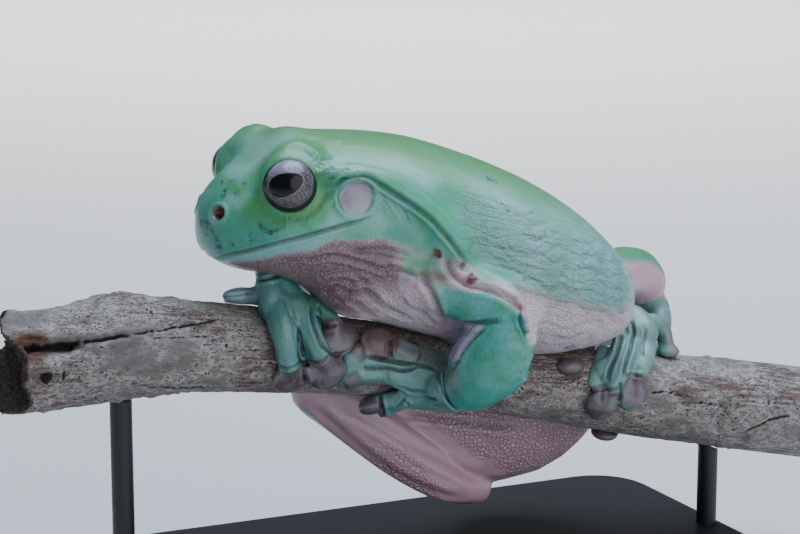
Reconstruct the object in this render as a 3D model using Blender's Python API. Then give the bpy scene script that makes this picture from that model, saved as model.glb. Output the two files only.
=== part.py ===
"""White's tree frog resting on a cut length of branch, as a still life-size model on a display stand.

The frog faces -X, its left side is -Y and up is +Z. Lengths below are millimetres, measured from
the branch's axis at X = 0; the finished solids are moved up onto the stand and scaled to metres.
"""

import math

import bmesh
import bpy
import numpy as np
from mathutils import Matrix, Vector
from mathutils.bvhtree import BVHTree

MM = 0.001

# driving sizes
BRANCH_HEIGHT = 43.5        # branch axis above the table
CUT_GAP = 0.3               # thin cut between neighbouring solids
PERCH_GAP = 0.2             # between the branch and what lies on it
EYE_RADIUS = 4.3
EYE_CENTRE = (-23.7, 10.9, 32.0)
EYE_AXIS = (-0.36, 0.91, 0.16)
EARDRUM_RADIUS = 2.75
EARDRUM_CENTRE = (-14.6, 15.6, 30.2)
DISC_RADIUS = 2.9
DISC_THICKNESS = 2.3
FINGER_RADIUS = 1.25

BASE_LENGTH = 118.0
BASE_WIDTH = 72.0
BASE_THICKNESS = 8.0
BASE_SHIFT = 4.0
ROD_RADIUS = 1.75
ROD_POSITIONS = {"stand_rod_left": -48.0, "stand_rod_right": 60.0}

# most triangles each solid may have before its neighbours' rooms are cut
BUDGET = {"head": 3100, "torso": 1500, "arm": 1450, "leg": 1450, "thigh": 360, "room": 800}

# branch: X, height of the axis, radius
BRANCH = [
    (-66.0, 6.2, 8.0), (-57.0, 6.2, 7.7), (-46.0, 6.7, 8.3), (-35.0, 5.6, 7.4), (-18.0, 3.1, 6.7),
    (0.0, -0.4, 6.3), (15.0, -3.9, 6.4), (30.0, -7.4, 6.7), (38.0, -9.2, 7.0), (56.0, -12.8, 7.9),
    (79.0, -17.6, 8.3), (85.0, -18.8, 8.4),
]

# head and body: X, top, widest height, bottom, half width
TRUNK = [
    (-34.4, 27.2, 25.0, 22.8, 2.6), (-33.4, 29.2, 24.2, 20.6, 5.2), (-31.4, 31.6, 23.6, 18.9, 8.1),
    (-28.0, 34.0, 23.8, 17.6, 11.2), (-24.0, 36.1, 24.4, 16.9, 13.2), (-19.0, 38.0, 25.2, 14.6, 14.7),
    (-14.0, 39.2, 25.2, 11.2, 15.5), (-9.0, 39.1, 24.0, 8.5, 15.9), (-4.0, 38.3, 22.0, 6.8, 16.4),
    (2.0, 36.7, 19.0, 4.8, 17.3), (8.0, 34.7, 16.5, 3.0, 18.8), (15.0, 32.0, 14.0, 0.9, 20.4),
    (22.0, 28.6, 12.0, -0.2, 21.0), (28.0, 24.8, 10.6, 0.0, 19.8), (32.0, 21.6, 9.8, 0.4, 17.8),
    (35.0, 18.7, 9.2, 0.7, 15.0), (37.5, 15.9, 8.7, 1.0, 11.6), (39.6, 13.1, 8.2, 1.6, 7.8),
    (41.2, 10.5, 7.8, 3.2, 4.2),
]
TRUNK_FRONT = (-34.9, 25.5)
TRUNK_BACK = (42.2, 7.6)
FAR_SAG = 7.0               # how far the belly sinks behind the branch

MOUTH_LINE = [
    (-34.2, 0.0, 20.6), (-33.0, 4.0, 20.9), (-31.0, 8.0, 21.8), (-28.0, 11.6, 23.1),
    (-23.0, 13.8, 24.5), (-18.0, 15.0, 25.7), (-12.5, 15.9, 27.2),
]
EAR_FOLD = [
    (-19.0, 14.2, 34.0), (-14.5, 15.0, 33.8), (-9.0, 15.4, 31.6), (-3.5, 16.6, 27.2),
    (0.5, 17.6, 22.4), (3.5, 18.4, 17.6),
]
NECK_CUT = ((-5.0, 0.0, 22.0), (1.0, 0.0, -0.18))


# small helpers

def clear_scene():
    for thing in list(bpy.data.objects):
        bpy.data.objects.remove(thing, do_unlink=True)


def unit(vector):
    vector = np.asarray(vector, float)
    return vector / np.linalg.norm(vector)


def hermite(stations, at):
    """Smooth value of a table of (position, value, value, ...) rows at one position."""
    table = np.asarray(stations, float)
    place = table[:, 0]
    at = min(max(at, place[0]), place[-1])
    step = int(min(max(np.searchsorted(place, at, side="right") - 1, 0), len(place) - 2))
    slopes = np.gradient(table[:, 1:], place, axis=0)
    width = place[step + 1] - place[step]
    t = (at - place[step]) / width
    a = 2 * t ** 3 - 3 * t ** 2 + 1
    b = t ** 3 - 2 * t ** 2 + t
    c = 3 * t ** 2 - 2 * t ** 3
    d = t ** 3 - t ** 2
    return (a * table[step, 1:] + b * width * slopes[step]
            + c * table[step + 1, 1:] + d * width * slopes[step + 1])


def smooth_rows(rows, per_span):
    """Rows of a path or of sections, filled in along their own length."""
    rows = np.asarray(rows, float)
    length = np.r_[0.0, np.cumsum(np.linalg.norm(np.diff(rows[:, :3], axis=0), axis=1))]
    table = np.column_stack([length, rows])
    places = np.concatenate([
        np.linspace(a, b, per_span, endpoint=False) for a, b in zip(length[:-1], length[1:])
    ] + [[length[-1]]])
    return np.array([hermite(table, p) for p in places])


def loft(name, rings, first, last):
    """Closed surface through rings of points, ended in a point at each end."""
    shape = bmesh.new()
    loops = [[shape.verts.new(p) for p in ring] for ring in rings]
    count = len(loops[0])
    for low, high in zip(loops[:-1], loops[1:]):
        for k in range(count):
            n = (k + 1) % count
            shape.faces.new((low[k], low[n], high[n], high[k]))
    for tip, loop in ((first, loops[0]), (last, loops[-1])):
        apex = shape.verts.new(tip)
        for k in range(count):
            shape.faces.new((loop[k], loop[(k + 1) % count], apex))
    bmesh.ops.recalc_face_normals(shape, faces=shape.faces)
    data = bpy.data.meshes.new(name)
    shape.to_mesh(data)
    shape.free()
    made = bpy.data.objects.new(name, data)
    bpy.context.collection.objects.link(made)
    return made


def tube(name, rows, up=(0.0, 0.0, 1.0), sides=14, per_span=4):
    """Tapered limb: rows of X, Y, Z, radius across, radius along up; both ends rounded."""
    rows = [r if len(r) == 5 else (*r, r[3]) for r in rows]
    path = smooth_rows(rows, per_span)
    centre = path[:, :3]
    along = np.gradient(centre, axis=0)
    along /= np.linalg.norm(along, axis=1)[:, None]
    turn = np.linspace(0.0, 2 * math.pi, sides, endpoint=False)
    stations = []
    for cap in (75, 50, 25):
        low = math.radians(cap)
        stations.append((0, -math.sin(low), math.cos(low)))
    stations += [(k, 0.0, 1.0) for k in range(len(path))]
    for cap in (25, 50, 75):
        low = math.radians(cap)
        stations.append((len(path) - 1, math.sin(low), math.cos(low)))
    rings = []
    for k, push, scale in stations:
        across = unit(np.cross(along[k], up))
        lift = np.cross(across, along[k])
        reach = 0.5 * (path[k, 3] + path[k, 4])
        middle = centre[k] + along[k] * push * reach
        rings.append([
            middle + across * math.cos(a) * path[k, 3] * scale + lift * math.sin(a) * path[k, 4] * scale
            for a in turn
        ])
    first = centre[0] - along[0] * 0.5 * (path[0, 3] + path[0, 4])
    last = centre[-1] + along[-1] * 0.5 * (path[-1, 3] + path[-1, 4])
    return loft(name, rings, first, last)


def ball(name, centre, radii, axis=None, segments=24, rings=14):
    """Ellipsoid; its third radius lies along axis."""
    bpy.ops.mesh.primitive_uv_sphere_add(segments=segments, ring_count=rings, radius=1.0)
    made = bpy.context.active_object
    made.name = name
    turn = Matrix.Identity(3)
    if axis is not None:
        turn = Vector(axis).to_track_quat("Z", "Y").to_matrix()
    made.data.transform(turn.to_4x4() @ Matrix.Diagonal((*radii, 1.0)))
    made.data.transform(Matrix.Translation(Vector(centre)))
    return made


def join(name, pieces):
    bpy.ops.object.select_all(action="DESELECT")
    for piece in pieces:
        piece.select_set(True)
    bpy.context.view_layer.objects.active = pieces[0]
    bpy.ops.object.join()
    joined = bpy.context.view_layer.objects.active
    joined.name = name
    return joined


def apply_modifier(thing, kind, **settings):
    bpy.ops.object.select_all(action="DESELECT")
    thing.select_set(True)
    bpy.context.view_layer.objects.active = thing
    modifier = thing.modifiers.new(kind.lower(), kind)
    for key, value in settings.items():
        setattr(modifier, key, value)
    bpy.ops.object.modifier_apply(modifier=modifier.name)
    return thing


def keep_largest(thing):
    """Keep only the largest closed surface of a solid."""
    shape = bmesh.new()
    shape.from_mesh(thing.data)
    shape.verts.ensure_lookup_table()
    unseen = set(range(len(shape.verts)))
    islands = []
    while unseen:
        stack = [unseen.pop()]
        island = set(stack)
        while stack:
            for edge in shape.verts[stack.pop()].link_edges:
                for vert in edge.verts:
                    if vert.index in unseen:
                        unseen.discard(vert.index)
                        island.add(vert.index)
                        stack.append(vert.index)
        islands.append(island)
    if len(islands) > 1:
        best = max(islands, key=len)
        loose = [v for v in shape.verts if v.index not in best]
        bmesh.ops.delete(shape, geom=loose, context="VERTS")
        shape.to_mesh(thing.data)
    shape.free()
    return thing


def fuse(name, pieces, cell, smoothing=4, triangles=None):
    """One skin round several pieces, its joints softened."""
    body = join(name, pieces) if len(pieces) > 1 else pieces[0]
    body.name = name
    apply_modifier(body, "REMESH", mode="VOXEL", voxel_size=cell, adaptivity=0.0)
    if smoothing:
        apply_modifier(body, "SMOOTH", factor=0.5, iterations=smoothing)
    if triangles:
        thin_out(body, triangles)
    return keep_largest(body)


def thin_out(body, triangles):
    apply_modifier(body, "TRIANGULATE")
    now = len(body.data.polygons)
    if now > triangles:
        apply_modifier(body, "DECIMATE", decimate_type="COLLAPSE", ratio=triangles / now)


def boolean(target, tool, operation="DIFFERENCE", keep_tool=False):
    apply_modifier(target, "BOOLEAN", operation=operation, object=tool, solver="EXACT")
    if not keep_tool:
        bpy.data.objects.remove(tool, do_unlink=True)
    return target


def swollen(thing, gap, cell=0.7, triangles=BUDGET["room"]):
    """Copy of a solid grown by a gap, used to make room for the solid itself."""
    copy = thing.copy()
    copy.data = thing.data.copy()
    bpy.context.collection.objects.link(copy)
    apply_modifier(copy, "REMESH", mode="VOXEL", voxel_size=cell, adaptivity=0.0)
    push = [v.co + v.normal * gap for v in copy.data.vertices]
    for vert, place in zip(copy.data.vertices, push):
        vert.co = place
    apply_modifier(copy, "REMESH", mode="VOXEL", voxel_size=cell, adaptivity=0.0)
    thin_out(copy, triangles)
    return copy


def make_room(target, neighbour, gap=CUT_GAP, triangles=BUDGET["room"]):
    """Cut the room of a neighbouring solid, with a thin gap, out of a solid."""
    fine = neighbour.name != "branch"
    boolean(target, swollen(neighbour, gap + (0.12 if fine else 0.05), cell=0.5 if fine else 0.7,
                            triangles=3 * triangles if fine else triangles))
    return keep_largest(target)


def slice_at(thing, point, normal, size, names):
    """Cut a solid across with a thin plate; the part on the normal's side takes the second name."""
    bpy.ops.mesh.primitive_cube_add(size=1.0)
    plate = bpy.context.active_object
    turn = Vector(normal).to_track_quat("Z", "Y").to_matrix().to_4x4()
    plate.data.transform(Matrix.Translation(Vector(point)) @ turn
                         @ Matrix.Diagonal((size, size, CUT_GAP, 1.0)))
    boolean(thing, plate)
    bpy.ops.object.select_all(action="DESELECT")
    thing.select_set(True)
    bpy.context.view_layer.objects.active = thing
    bpy.ops.mesh.separate(type="LOOSE")
    parts = sorted(bpy.context.selected_objects, key=lambda o: -len(o.data.vertices))
    for crumb in parts[2:]:
        bpy.data.objects.remove(crumb, do_unlink=True)
    if len(parts) < 2:
        raise RuntimeError(f"{names} were not parted")
    parts = parts[:2]

    def side(part):
        middle = sum((v.co for v in part.data.vertices), Vector()) / len(part.data.vertices)
        return (middle - Vector(point)).dot(Vector(normal))

    parts.sort(key=side)
    for part, name in zip(parts, names):
        part.name = name
    return parts


def on_branch(x, angle, lift):
    """Point over the branch: angle in degrees from its top toward the frog's left."""
    height, radius = hermite(BRANCH, x)
    turn = math.radians(angle)
    reach = radius + lift
    return (x, -math.sin(turn) * reach, height + math.cos(turn) * reach)


def branch_outward(angle):
    turn = math.radians(angle)
    return (0.0, -math.sin(turn), math.cos(turn))


# branch and stand

def make_branch():
    """Dead stick with a weathered, broken left end and a knot."""
    sides = 22
    stations = np.unique(np.r_[np.linspace(BRANCH[0][0], -46.0, 9), np.linspace(-46.0, BRANCH[-1][0], 16)])
    rings = []
    for x in stations:
        height, radius = hermite(BRANCH, x)
        ring = []
        for k in range(sides):
            a = 2 * math.pi * k / sides
            bumps = 1 + 0.012 * math.sin(3 * a + 0.05 * x) + 0.010 * math.sin(5 * a - 0.08 * x)
            knot = math.exp(-((x + 62.0) / 5.0) ** 2 - (math.remainder(a - 4.5, 2 * math.pi) / 0.7) ** 2)
            r = radius * (bumps + 0.05 * knot)
            ragged = 0.0
            if x < -60.0:
                ragged = (x + 60.0) / 6.0 * (1.6 * math.sin(2 * a + 0.6) + 0.9 * math.sin(5 * a))
            ring.append((x - ragged, math.cos(a) * r, height + math.sin(a) * r))
        rings.append(ring)
    first = (BRANCH[0][0] + 3.0, 0.0, BRANCH[0][1] - 0.5)
    last = (BRANCH[-1][0], 0.0, BRANCH[-1][1])
    branch = loft("branch", rings, first, last)
    apply_modifier(branch, "TRIANGULATE")
    return branch


def make_stand():
    bottom = -BRANCH_HEIGHT
    bpy.ops.mesh.primitive_cube_add(size=1.0)
    base = bpy.context.active_object
    base.name = "stand_base"
    base.data.transform(Matrix.Translation((BASE_SHIFT, 0.0, bottom + 0.5 * BASE_THICKNESS))
                        @ Matrix.Diagonal((BASE_LENGTH, BASE_WIDTH, BASE_THICKNESS, 1.0)))
    shape = bmesh.new()
    shape.from_mesh(base.data)
    upright = [e for e in shape.edges if abs(e.verts[0].co.z - e.verts[1].co.z) > 1.0]
    bmesh.ops.bevel(shape, geom=upright, offset=10.0, segments=6, affect="EDGES", profile=0.5)
    top = [e for e in shape.edges
           if min(v.co.z for v in e.verts) > bottom + BASE_THICKNESS - 0.01]
    bmesh.ops.bevel(shape, geom=top, offset=1.0, segments=2, affect="EDGES", profile=0.5)
    bmesh.ops.triangulate(shape, faces=shape.faces)
    shape.to_mesh(base.data)
    shape.free()
    made = [base]
    for name, x in ROD_POSITIONS.items():
        low = bottom + BASE_THICKNESS
        high = hermite(BRANCH, x)[0]
        bpy.ops.mesh.primitive_cylinder_add(radius=ROD_RADIUS, depth=high - low, vertices=24)
        rod = bpy.context.active_object
        rod.name = name
        rod.data.transform(Matrix.Translation((x, 0.0, 0.5 * (high + low))))
        made.append(rod)
    return made


# head and body

def make_trunk():
    """Head and body as one soft mass; the belly sinks a little behind the branch."""
    sides = 40
    rings = []
    for row in np.linspace(TRUNK[0][0], TRUNK[-1][0], 58):
        top, wide, bottom, half = hermite(TRUNK, row)
        ring = []
        for k in range(sides):
            a = 2 * math.pi * k / sides
            y = half * math.copysign(abs(math.cos(a)) ** 0.92, math.cos(a))
            rise = math.copysign(abs(math.sin(a)) ** 0.94, math.sin(a))
            z = wide + rise * ((top - wide) if rise > 0 else (wide - bottom))
            if rise < 0 and row > -2.0:
                far = 1 / (1 + math.exp(-(y - 6.0) / 2.5))
                z += rise * FAR_SAG * far * math.sin(math.pi * min((row + 2.0) / 42.0, 1.0))
            ring.append((row, y, z))
        rings.append(ring)
    body = loft("trunk", rings, (TRUNK_FRONT[0], 0.0, TRUNK_FRONT[1]), (TRUNK_BACK[0], 0.0, TRUNK_BACK[1]))
    pieces = [body]
    for side in (-1, 1):
        def place(p):
            return (p[0], side * p[1], p[2])
        pieces.append(ball("mound", place((-21.5, 8.4, 33.1)), (5.3, 5.0, 5.7)))
        eye = np.array(place(EYE_CENTRE))
        axis = unit(place(EYE_AXIS))
        up = unit(np.cross(axis, (1.0, 0.0, 0.0)))
        across = np.cross(axis, up)
        lid = []
        for k in range(25):
            a = 2 * math.pi * k / 24
            rim = eye + axis * 0.9 + (across * math.cos(a) + up * math.sin(a)) * (EYE_RADIUS - 0.1)
            lid.append((*rim, 1.15))
        pieces.append(tube("lid", lid[:25], up=tuple(axis), sides=10, per_span=1))
        lip = [(x, side * (y - 0.9 if y > 1 else y), z + 1.2, 1.2) for x, y, z in MOUTH_LINE]
        lip[0] = (-33.4, 0.0, 21.9, 1.2)
        pieces.append(tube("lip", lip, sides=10, per_span=3))
        fold = [(x, side * (y - 0.6), z, r) for (x, y, z), r in zip(EAR_FOLD, (1.2, 1.9, 2.2, 2.4, 2.3, 1.6))]
        pieces.append(tube("fold", fold, sides=10, per_span=3))
        pieces.append(ball("nostril_rise", place((-31.6, 4.6, 27.2)), (1.9, 1.7, 1.7)))
    return fuse("trunk", pieces, 0.6, smoothing=5)


def surface_finder(thing):
    shape = bmesh.new()
    shape.from_mesh(thing.data)
    tree = BVHTree.FromBMesh(shape)
    shape.free()
    return tree


def open_features(trunk):
    """Mouth line, nostrils, eye sockets and the rooms of the eardrums."""
    finder = surface_finder(trunk)
    thin_out(trunk, 4600)
    for side in (-1, 1):
        line = []
        for row in smooth_rows([(x, side * y, z) for x, y, z in MOUTH_LINE], 3):
            spot = finder.find_nearest(Vector(row))[0]
            line.append((*spot, 0.42))
        boolean(trunk, tube("mouth", line, sides=8, per_span=1))
        nose = finder.find_nearest(Vector((-33.0, side * 5.2, 27.4)))[0]
        boolean(trunk, ball("nostril", nose, (0.75, 0.75, 0.75), segments=10, rings=6))
        centre = (EYE_CENTRE[0], side * EYE_CENTRE[1], EYE_CENTRE[2])
        room = EYE_RADIUS + CUT_GAP
        boolean(trunk, ball("socket", centre, (room, room, room), segments=28, rings=16))
        spot, normal = finder.find_nearest(Vector((EARDRUM_CENTRE[0], side * EARDRUM_CENTRE[1],
                                                   EARDRUM_CENTRE[2])))[:2]
        bpy.ops.mesh.primitive_cylinder_add(radius=EARDRUM_RADIUS + CUT_GAP, depth=2.4, vertices=24)
        recess = bpy.context.active_object
        turn = normal.to_track_quat("Z", "Y").to_matrix().to_4x4()
        recess.data.transform(Matrix.Translation(spot + normal * 0.2) @ turn)
        boolean(trunk, recess)
        ball("eardrum_left" if side < 0 else "eardrum_right", spot - normal * 0.02,
                   (EARDRUM_RADIUS, EARDRUM_RADIUS, 0.65), axis=normal, segments=16, rings=6)
        ball("eye_left" if side < 0 else "eye_right", centre, (EYE_RADIUS,) * 3,
             axis=(EYE_AXIS[0], side * EYE_AXIS[1], EYE_AXIS[2]), segments=16, rings=10)
    return keep_largest(trunk)


# limbs

def digit(points, base_radius, tip_radius, disc_angle, disc_x, disc_lift=0.9, disc=DISC_RADIUS):
    """Finger or toe along points, with its round disc pressed on the branch."""
    count = len(points)
    rows = []
    for k, point in enumerate(points):
        radius = base_radius + (tip_radius - base_radius) * k / (count - 1)
        rows.append((*point, radius))
    pad = on_branch(disc_x, disc_angle, disc_lift)
    rows.append((*pad, tip_radius * 0.9))
    return [
        tube("digit", rows, sides=10, per_span=4),
        ball("disc", pad, (disc, disc * 0.95, DISC_THICKNESS * 0.5), axis=branch_outward(disc_angle),
             segments=20, rings=10),
    ]


def make_arm_left():
    """Near arm: elbow pushed back, fat forearm down to the near face of the branch."""
    pieces = [
        tube("upper", [(-6.0, -11.0, 17.0, 5.0), (0.0, -15.0, 16.0, 4.9), (6.0, -19.0, 13.4, 4.7),
                       (10.6, -21.6, 11.0, 4.3)]),
        tube("fore", [(10.8, -21.6, 10.4, 4.3), (8.6, -21.0, 6.0, 5.9), (6.0, -18.6, 1.8, 5.8),
                      (3.4, -14.6, -2.0, 3.9), (2.0, -12.0, -2.8, 2.9)]),
        ball("palm", on_branch(1.4, 98, 1.6), (5.2, 4.4, 2.2), axis=branch_outward(98)),
    ]
    pieces += digit([on_branch(1.5, 84, 2.2), on_branch(-1.0, 76, 2.0), on_branch(-4.6, 68, 1.7)],
                    1.9, FINGER_RADIUS, 61, -7.3)
    pieces += digit([on_branch(1.0, 92, 1.8), on_branch(-3.0, 89, 1.4), on_branch(-7.6, 87, 1.1)],
                    1.4, 0.95, 84, -11.4, disc_lift=0.7, disc=2.2)
    pieces += digit([on_branch(1.0, 100, 2.0), on_branch(-3.6, 99, 1.8), on_branch(-8.0, 99, 1.3)],
                    2.2, FINGER_RADIUS, 108, -11.9, disc_lift=0.7, disc=2.3)
    pieces += digit([on_branch(1.6, 112, 2.2), on_branch(-1.6, 124, 2.0), on_branch(-4.2, 136, 1.6)],
                    2.1, 1.5, 156, -6.0, disc=2.6)
    return fuse("arm_left", pieces, 0.5, smoothing=3, triangles=BUDGET["arm"])


def make_arm_right():
    """Far arm: passes under the chin and hooks its hand over the branch from above."""
    pieces = [
        tube("upper", [(-4.0, 10.0, 15.0, 4.6), (-5.5, 14.5, 11.6, 4.5), (-8.5, 17.5, 9.4, 4.1)]),
        tube("fore", [(-8.8, 17.6, 9.2, 4.0), (-13.4, 13.6, 11.6, 4.6), (-18.4, 7.0, 14.6, 4.0),
                      (-21.4, 1.6, 16.2, 3.1), (-22.0, -1.6, 14.6, 3.1)]),
        ball("palm", on_branch(-21.6, 26, 1.7), (4.6, 4.4, 2.2), axis=branch_outward(26)),
    ]
    pieces += digit([on_branch(-23.4, 30, 2.4), on_branch(-23.9, 56, 2.3), on_branch(-23.5, 84, 1.9)],
                    2.6, 1.7, 113, -22.3, disc=3.0)
    pieces += digit([on_branch(-20.6, 30, 2.4), on_branch(-19.4, 56, 2.2), on_branch(-17.8, 82, 1.9)],
                    2.5, 1.6, 103, -16.4, disc_lift=1.2, disc=3.2)
    pieces += digit([on_branch(-18.8, 18, 2.0), on_branch(-15.8, 24, 1.9), on_branch(-14.4, 38, 1.7)],
                    1.9, 1.4, 60, -13.9, disc=2.95)
    pieces += digit([on_branch(-22.6, 10, 2.0), on_branch(-24.2, 0, 1.8), on_branch(-25.6, -8, 1.5)],
                    1.9, 1.4, -14, -27.2, disc=2.8)
    return fuse("arm_right", pieces, 0.5, smoothing=3, triangles=BUDGET["arm"])


def make_thigh_right():
    """Far thigh, its heavy granular underside hanging behind the branch."""
    rows = [(34.0, 9.0, -3.0, 5.0, 6.0), (37.0, 11.5, -10.4, 6.2, 9.4), (30.0, 13.2, -15.0, 7.0, 11.0),
            (20.0, 14.4, -15.8, 6.8, 11.2), (7.0, 15.2, -11.4, 6.2, 8.6), (-6.0, 15.6, -6.4, 4.8, 5.6)]
    shape = tube("thigh", rows[1:], sides=20)
    root = ball("root", (35.0, 9.6, -4.0), (7.4, 6.4, 8.4))
    return fuse("thigh_right", [shape, root], 0.7, smoothing=6, triangles=BUDGET["thigh"])


def make_lower_leg_right():
    """Far shank in front of its thigh, heel at the lowest point, foot back up to the branch."""
    shank = tube("shank", [(-9.6, 12.0, -6.6, 4.4, 4.8), (-1.6, 10.8, -13.2, 4.2, 4.7),
                           (7.4, 10.4, -20.6, 3.6, 4.3), (15.4, 11.2, -26.0, 3.0, 3.4),
                           (20.8, 13.0, -27.8, 2.7, 2.9)])
    heel = tube("heel", [(20.6, 14.0, -27.8, 2.8), (24.0, 20.0, -25.8, 2.9), (32.0, 21.6, -22.0, 2.7),
                         (41.0, 17.6, -18.0, 3.0), (45.0, 14.4, -16.0, 3.0)])
    pieces = [shank, heel]
    pieces += digit([(43.0, 15.0, -17.5), on_branch(43.0, -128, 2.4), on_branch(41.6, -146, 1.6)],
                    1.9, FINGER_RADIUS, -164, 40.2, disc=2.7)
    pieces += digit([(45.0, 14.0, -16.6), on_branch(46.6, -112, 2.2), on_branch(48.0, -134, 1.5)],
                    1.9, FINGER_RADIUS, -152, 49.0, disc=2.7)
    pieces += digit([(46.0, 14.0, -15.0), on_branch(49.6, -98, 2.2), on_branch(53.0, -104, 1.5)],
                    1.9, FINGER_RADIUS, -108, 56.4, disc=2.7)
    pieces += digit([(45.0, 14.4, -14.6), on_branch(48.0, -84, 2.4), on_branch(50.6, -74, 1.6)],
                    1.8, FINGER_RADIUS, -66, 53.6, disc=2.7)
    return fuse("leg_right", pieces, 0.5, smoothing=3, triangles=BUDGET["arm"])


def make_thigh_left():
    """Near thigh: its knee shows behind the rump."""
    return fuse("thigh_left", [
        tube("thigh", [(33.0, 1.0, 7.0, 5.0), (40.6, 5.6, 8.2, 5.0), (47.0, 9.6, 8.8, 4.8),
                       (51.8, 12.2, 8.0, 4.6)], sides=16),
        ball("knee", (53.4, 12.6, 6.2), (4.5, 4.3, 4.5)),
    ], 0.6, smoothing=4, triangles=BUDGET["thigh"])


def make_lower_leg_left():
    """Near shank folded back under its thigh, then the foot gripping over the branch."""
    shank = tube("shank", [(55.2, 14.4, 2.8, 3.6), (51.0, 15.4, -0.8, 3.9), (45.0, 15.0, -2.0, 3.6),
                           (39.6, 12.6, -0.6, 2.8)])
    ankle = tube("ankle", [(39.6, 12.0, -0.4, 2.8), (42.4, 6.6, 1.6, 2.7), (44.6, 2.0, 2.2, 2.9),
                           (45.0, -1.6, 0.6, 2.9)])
    pieces = [shank, ankle]
    pieces += digit([on_branch(43.6, -6, 2.2), on_branch(39.6, 20, 1.8), on_branch(37.0, 40, 1.5)],
                    1.7, 1.1, 52, 35.4, disc_lift=0.8, disc=2.3)
    pieces += digit([on_branch(43.8, 4, 2.4), on_branch(39.6, 38, 2.0), on_branch(36.2, 70, 1.7)],
                    2.0, 1.3, 98, 33.6, disc=2.9)
    pieces += digit([on_branch(46.0, 6, 2.4), on_branch(43.4, 36, 2.1), on_branch(41.2, 58, 1.8)],
                    2.0, 1.3, 82, 39.2, disc=2.9)
    pieces += digit([(46.0, 0.8, 0.8), (48.2, 0.6, 1.9), (50.2, 0.2, 0.6)],
                    1.7, 1.3, 6, 50.8, disc=2.1, disc_lift=0.8)
    pieces += digit([on_branch(44.6, -20, 2.2), on_branch(48.0, -28, 1.8), on_branch(50.6, -31, 1.5)],
                    1.7, 1.2, -33, 53.6, disc=2.3)
    return fuse("leg_left", pieces, 0.5, smoothing=3, triangles=BUDGET["leg"])


# finishing

COLOURS = {
    "skin": (0.13, 0.36, 0.27, 0.42),
    "pink": (0.48, 0.28, 0.31, 0.5),
    "eye": (0.05, 0.05, 0.05, 0.08),
    "eardrum": (0.33, 0.30, 0.33, 0.45),
    "bark": (0.30, 0.27, 0.24, 0.85),
    "base": (0.035, 0.035, 0.038, 0.4),
    "rod": (0.05, 0.05, 0.055, 0.35),
}


def colour_for(name):
    for key, colour in (("eye_", "eye"), ("eardrum", "eardrum"), ("branch", "bark"),
                        ("stand_base", "base"), ("stand_rod", "rod"), ("thigh_right", "pink"),
                        ("shank_right", "pink")):
        if name.startswith(key):
            return colour
    return "skin"


def finish(thing):
    """Lift onto the stand, scale to metres, shade and colour."""
    thing.data.transform(Matrix.Scale(MM, 4) @ Matrix.Translation((0.0, 0.0, BRANCH_HEIGHT)))
    shape = bmesh.new()
    shape.from_mesh(thing.data)
    bmesh.ops.recalc_face_normals(shape, faces=shape.faces)
    shape.to_mesh(thing.data)
    shape.free()
    thing.data.polygons.foreach_set("use_smooth", [thing.name != "stand_base"] * len(thing.data.polygons))
    red, green, blue, rough = COLOURS[colour_for(thing.name)]
    material = bpy.data.materials.new(thing.name)
    material.use_nodes = True
    shader = material.node_tree.nodes["Principled BSDF"]
    shader.inputs["Base Color"].default_value = (red, green, blue, 1.0)
    shader.inputs["Roughness"].default_value = rough
    shader.inputs["Metallic"].default_value = 1.0 if thing.name.startswith("stand_rod") else 0.0
    thing.data.materials.clear()
    thing.data.materials.append(material)


def build():
    clear_scene()
    branch = make_branch()
    base, rod_left, rod_right = make_stand()
    for rod in (rod_left, rod_right):
        make_room(rod, branch, triangles=1400)
    trunk = make_trunk()
    trunk = open_features(trunk)
    make_room(trunk, branch, PERCH_GAP)
    head, torso = slice_at(trunk, *NECK_CUT, 60.0, ("head", "torso"))
    thin_out(head, BUDGET["head"])
    thin_out(torso, BUDGET["torso"])

    arm_right = make_arm_right()
    for other in (branch, torso, head):
        make_room(arm_right, other, PERCH_GAP if other is branch else CUT_GAP)
    rest = slice_at(arm_right, (-8.8, 17.4, 9.4), (-1.13, 0.11, -0.17), 17.0, ("upper_arm_right", "rest"))[1]
    slice_at(rest, (-21.0, 2.2, 16.0), (-0.45, -0.75, -0.4), 9.0, ("forearm_right", "hand_right"))
    hand_right = bpy.data.objects["hand_right"]

    arm_left = make_arm_left()
    for other in (branch, torso, head, hand_right):
        make_room(arm_left, other, PERCH_GAP if other is branch else CUT_GAP)
    rest = slice_at(arm_left, (10.4, -21.0, 10.4), (0.35, -0.33, -1.3), 19.0, ("upper_arm_left", "rest"))[1]
    slice_at(rest, (3.2, -14.0, -2.2), (-0.55, 0.75, -0.35), 11.0, ("forearm_left", "hand_left"))

    thigh_right = make_thigh_right()
    for other in (branch, torso):
        make_room(thigh_right, other, PERCH_GAP if other is branch else CUT_GAP)
    leg_right = make_lower_leg_right()
    for other in (branch, thigh_right, torso):
        make_room(leg_right, other, PERCH_GAP if other is branch else CUT_GAP)
    slice_at(leg_right, (21.0, 14.0, -27.0), (0.75, 0.65, -0.1), 11.0, ("shank_right", "foot_right"))
    foot_right = bpy.data.objects["foot_right"]

    thigh_left = make_thigh_left()
    for other in (branch, torso, thigh_right):
        make_room(thigh_left, other, PERCH_GAP if other is branch else CUT_GAP)
    leg_left = make_lower_leg_left()
    for other in (branch, torso, thigh_left, thigh_right, foot_right):
        make_room(leg_left, other, PERCH_GAP if other is branch else CUT_GAP)
    slice_at(leg_left, (39.4, 12.4, -0.5), (-0.45, -1.23, 0.54), 12.0, ("shank_left", "foot_left"))

    for thing in list(bpy.data.objects):
        if thing.type == "MESH":
            finish(thing)


build()
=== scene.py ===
"""White's tree frog on a branch: the looks of a still, life-size museum model.

Lengths in the code are millimetres in the frog's own frame, measured from the branch's axis
above the stand's middle; the frog faces -X, its left side is -Y.
"""

import math

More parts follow.
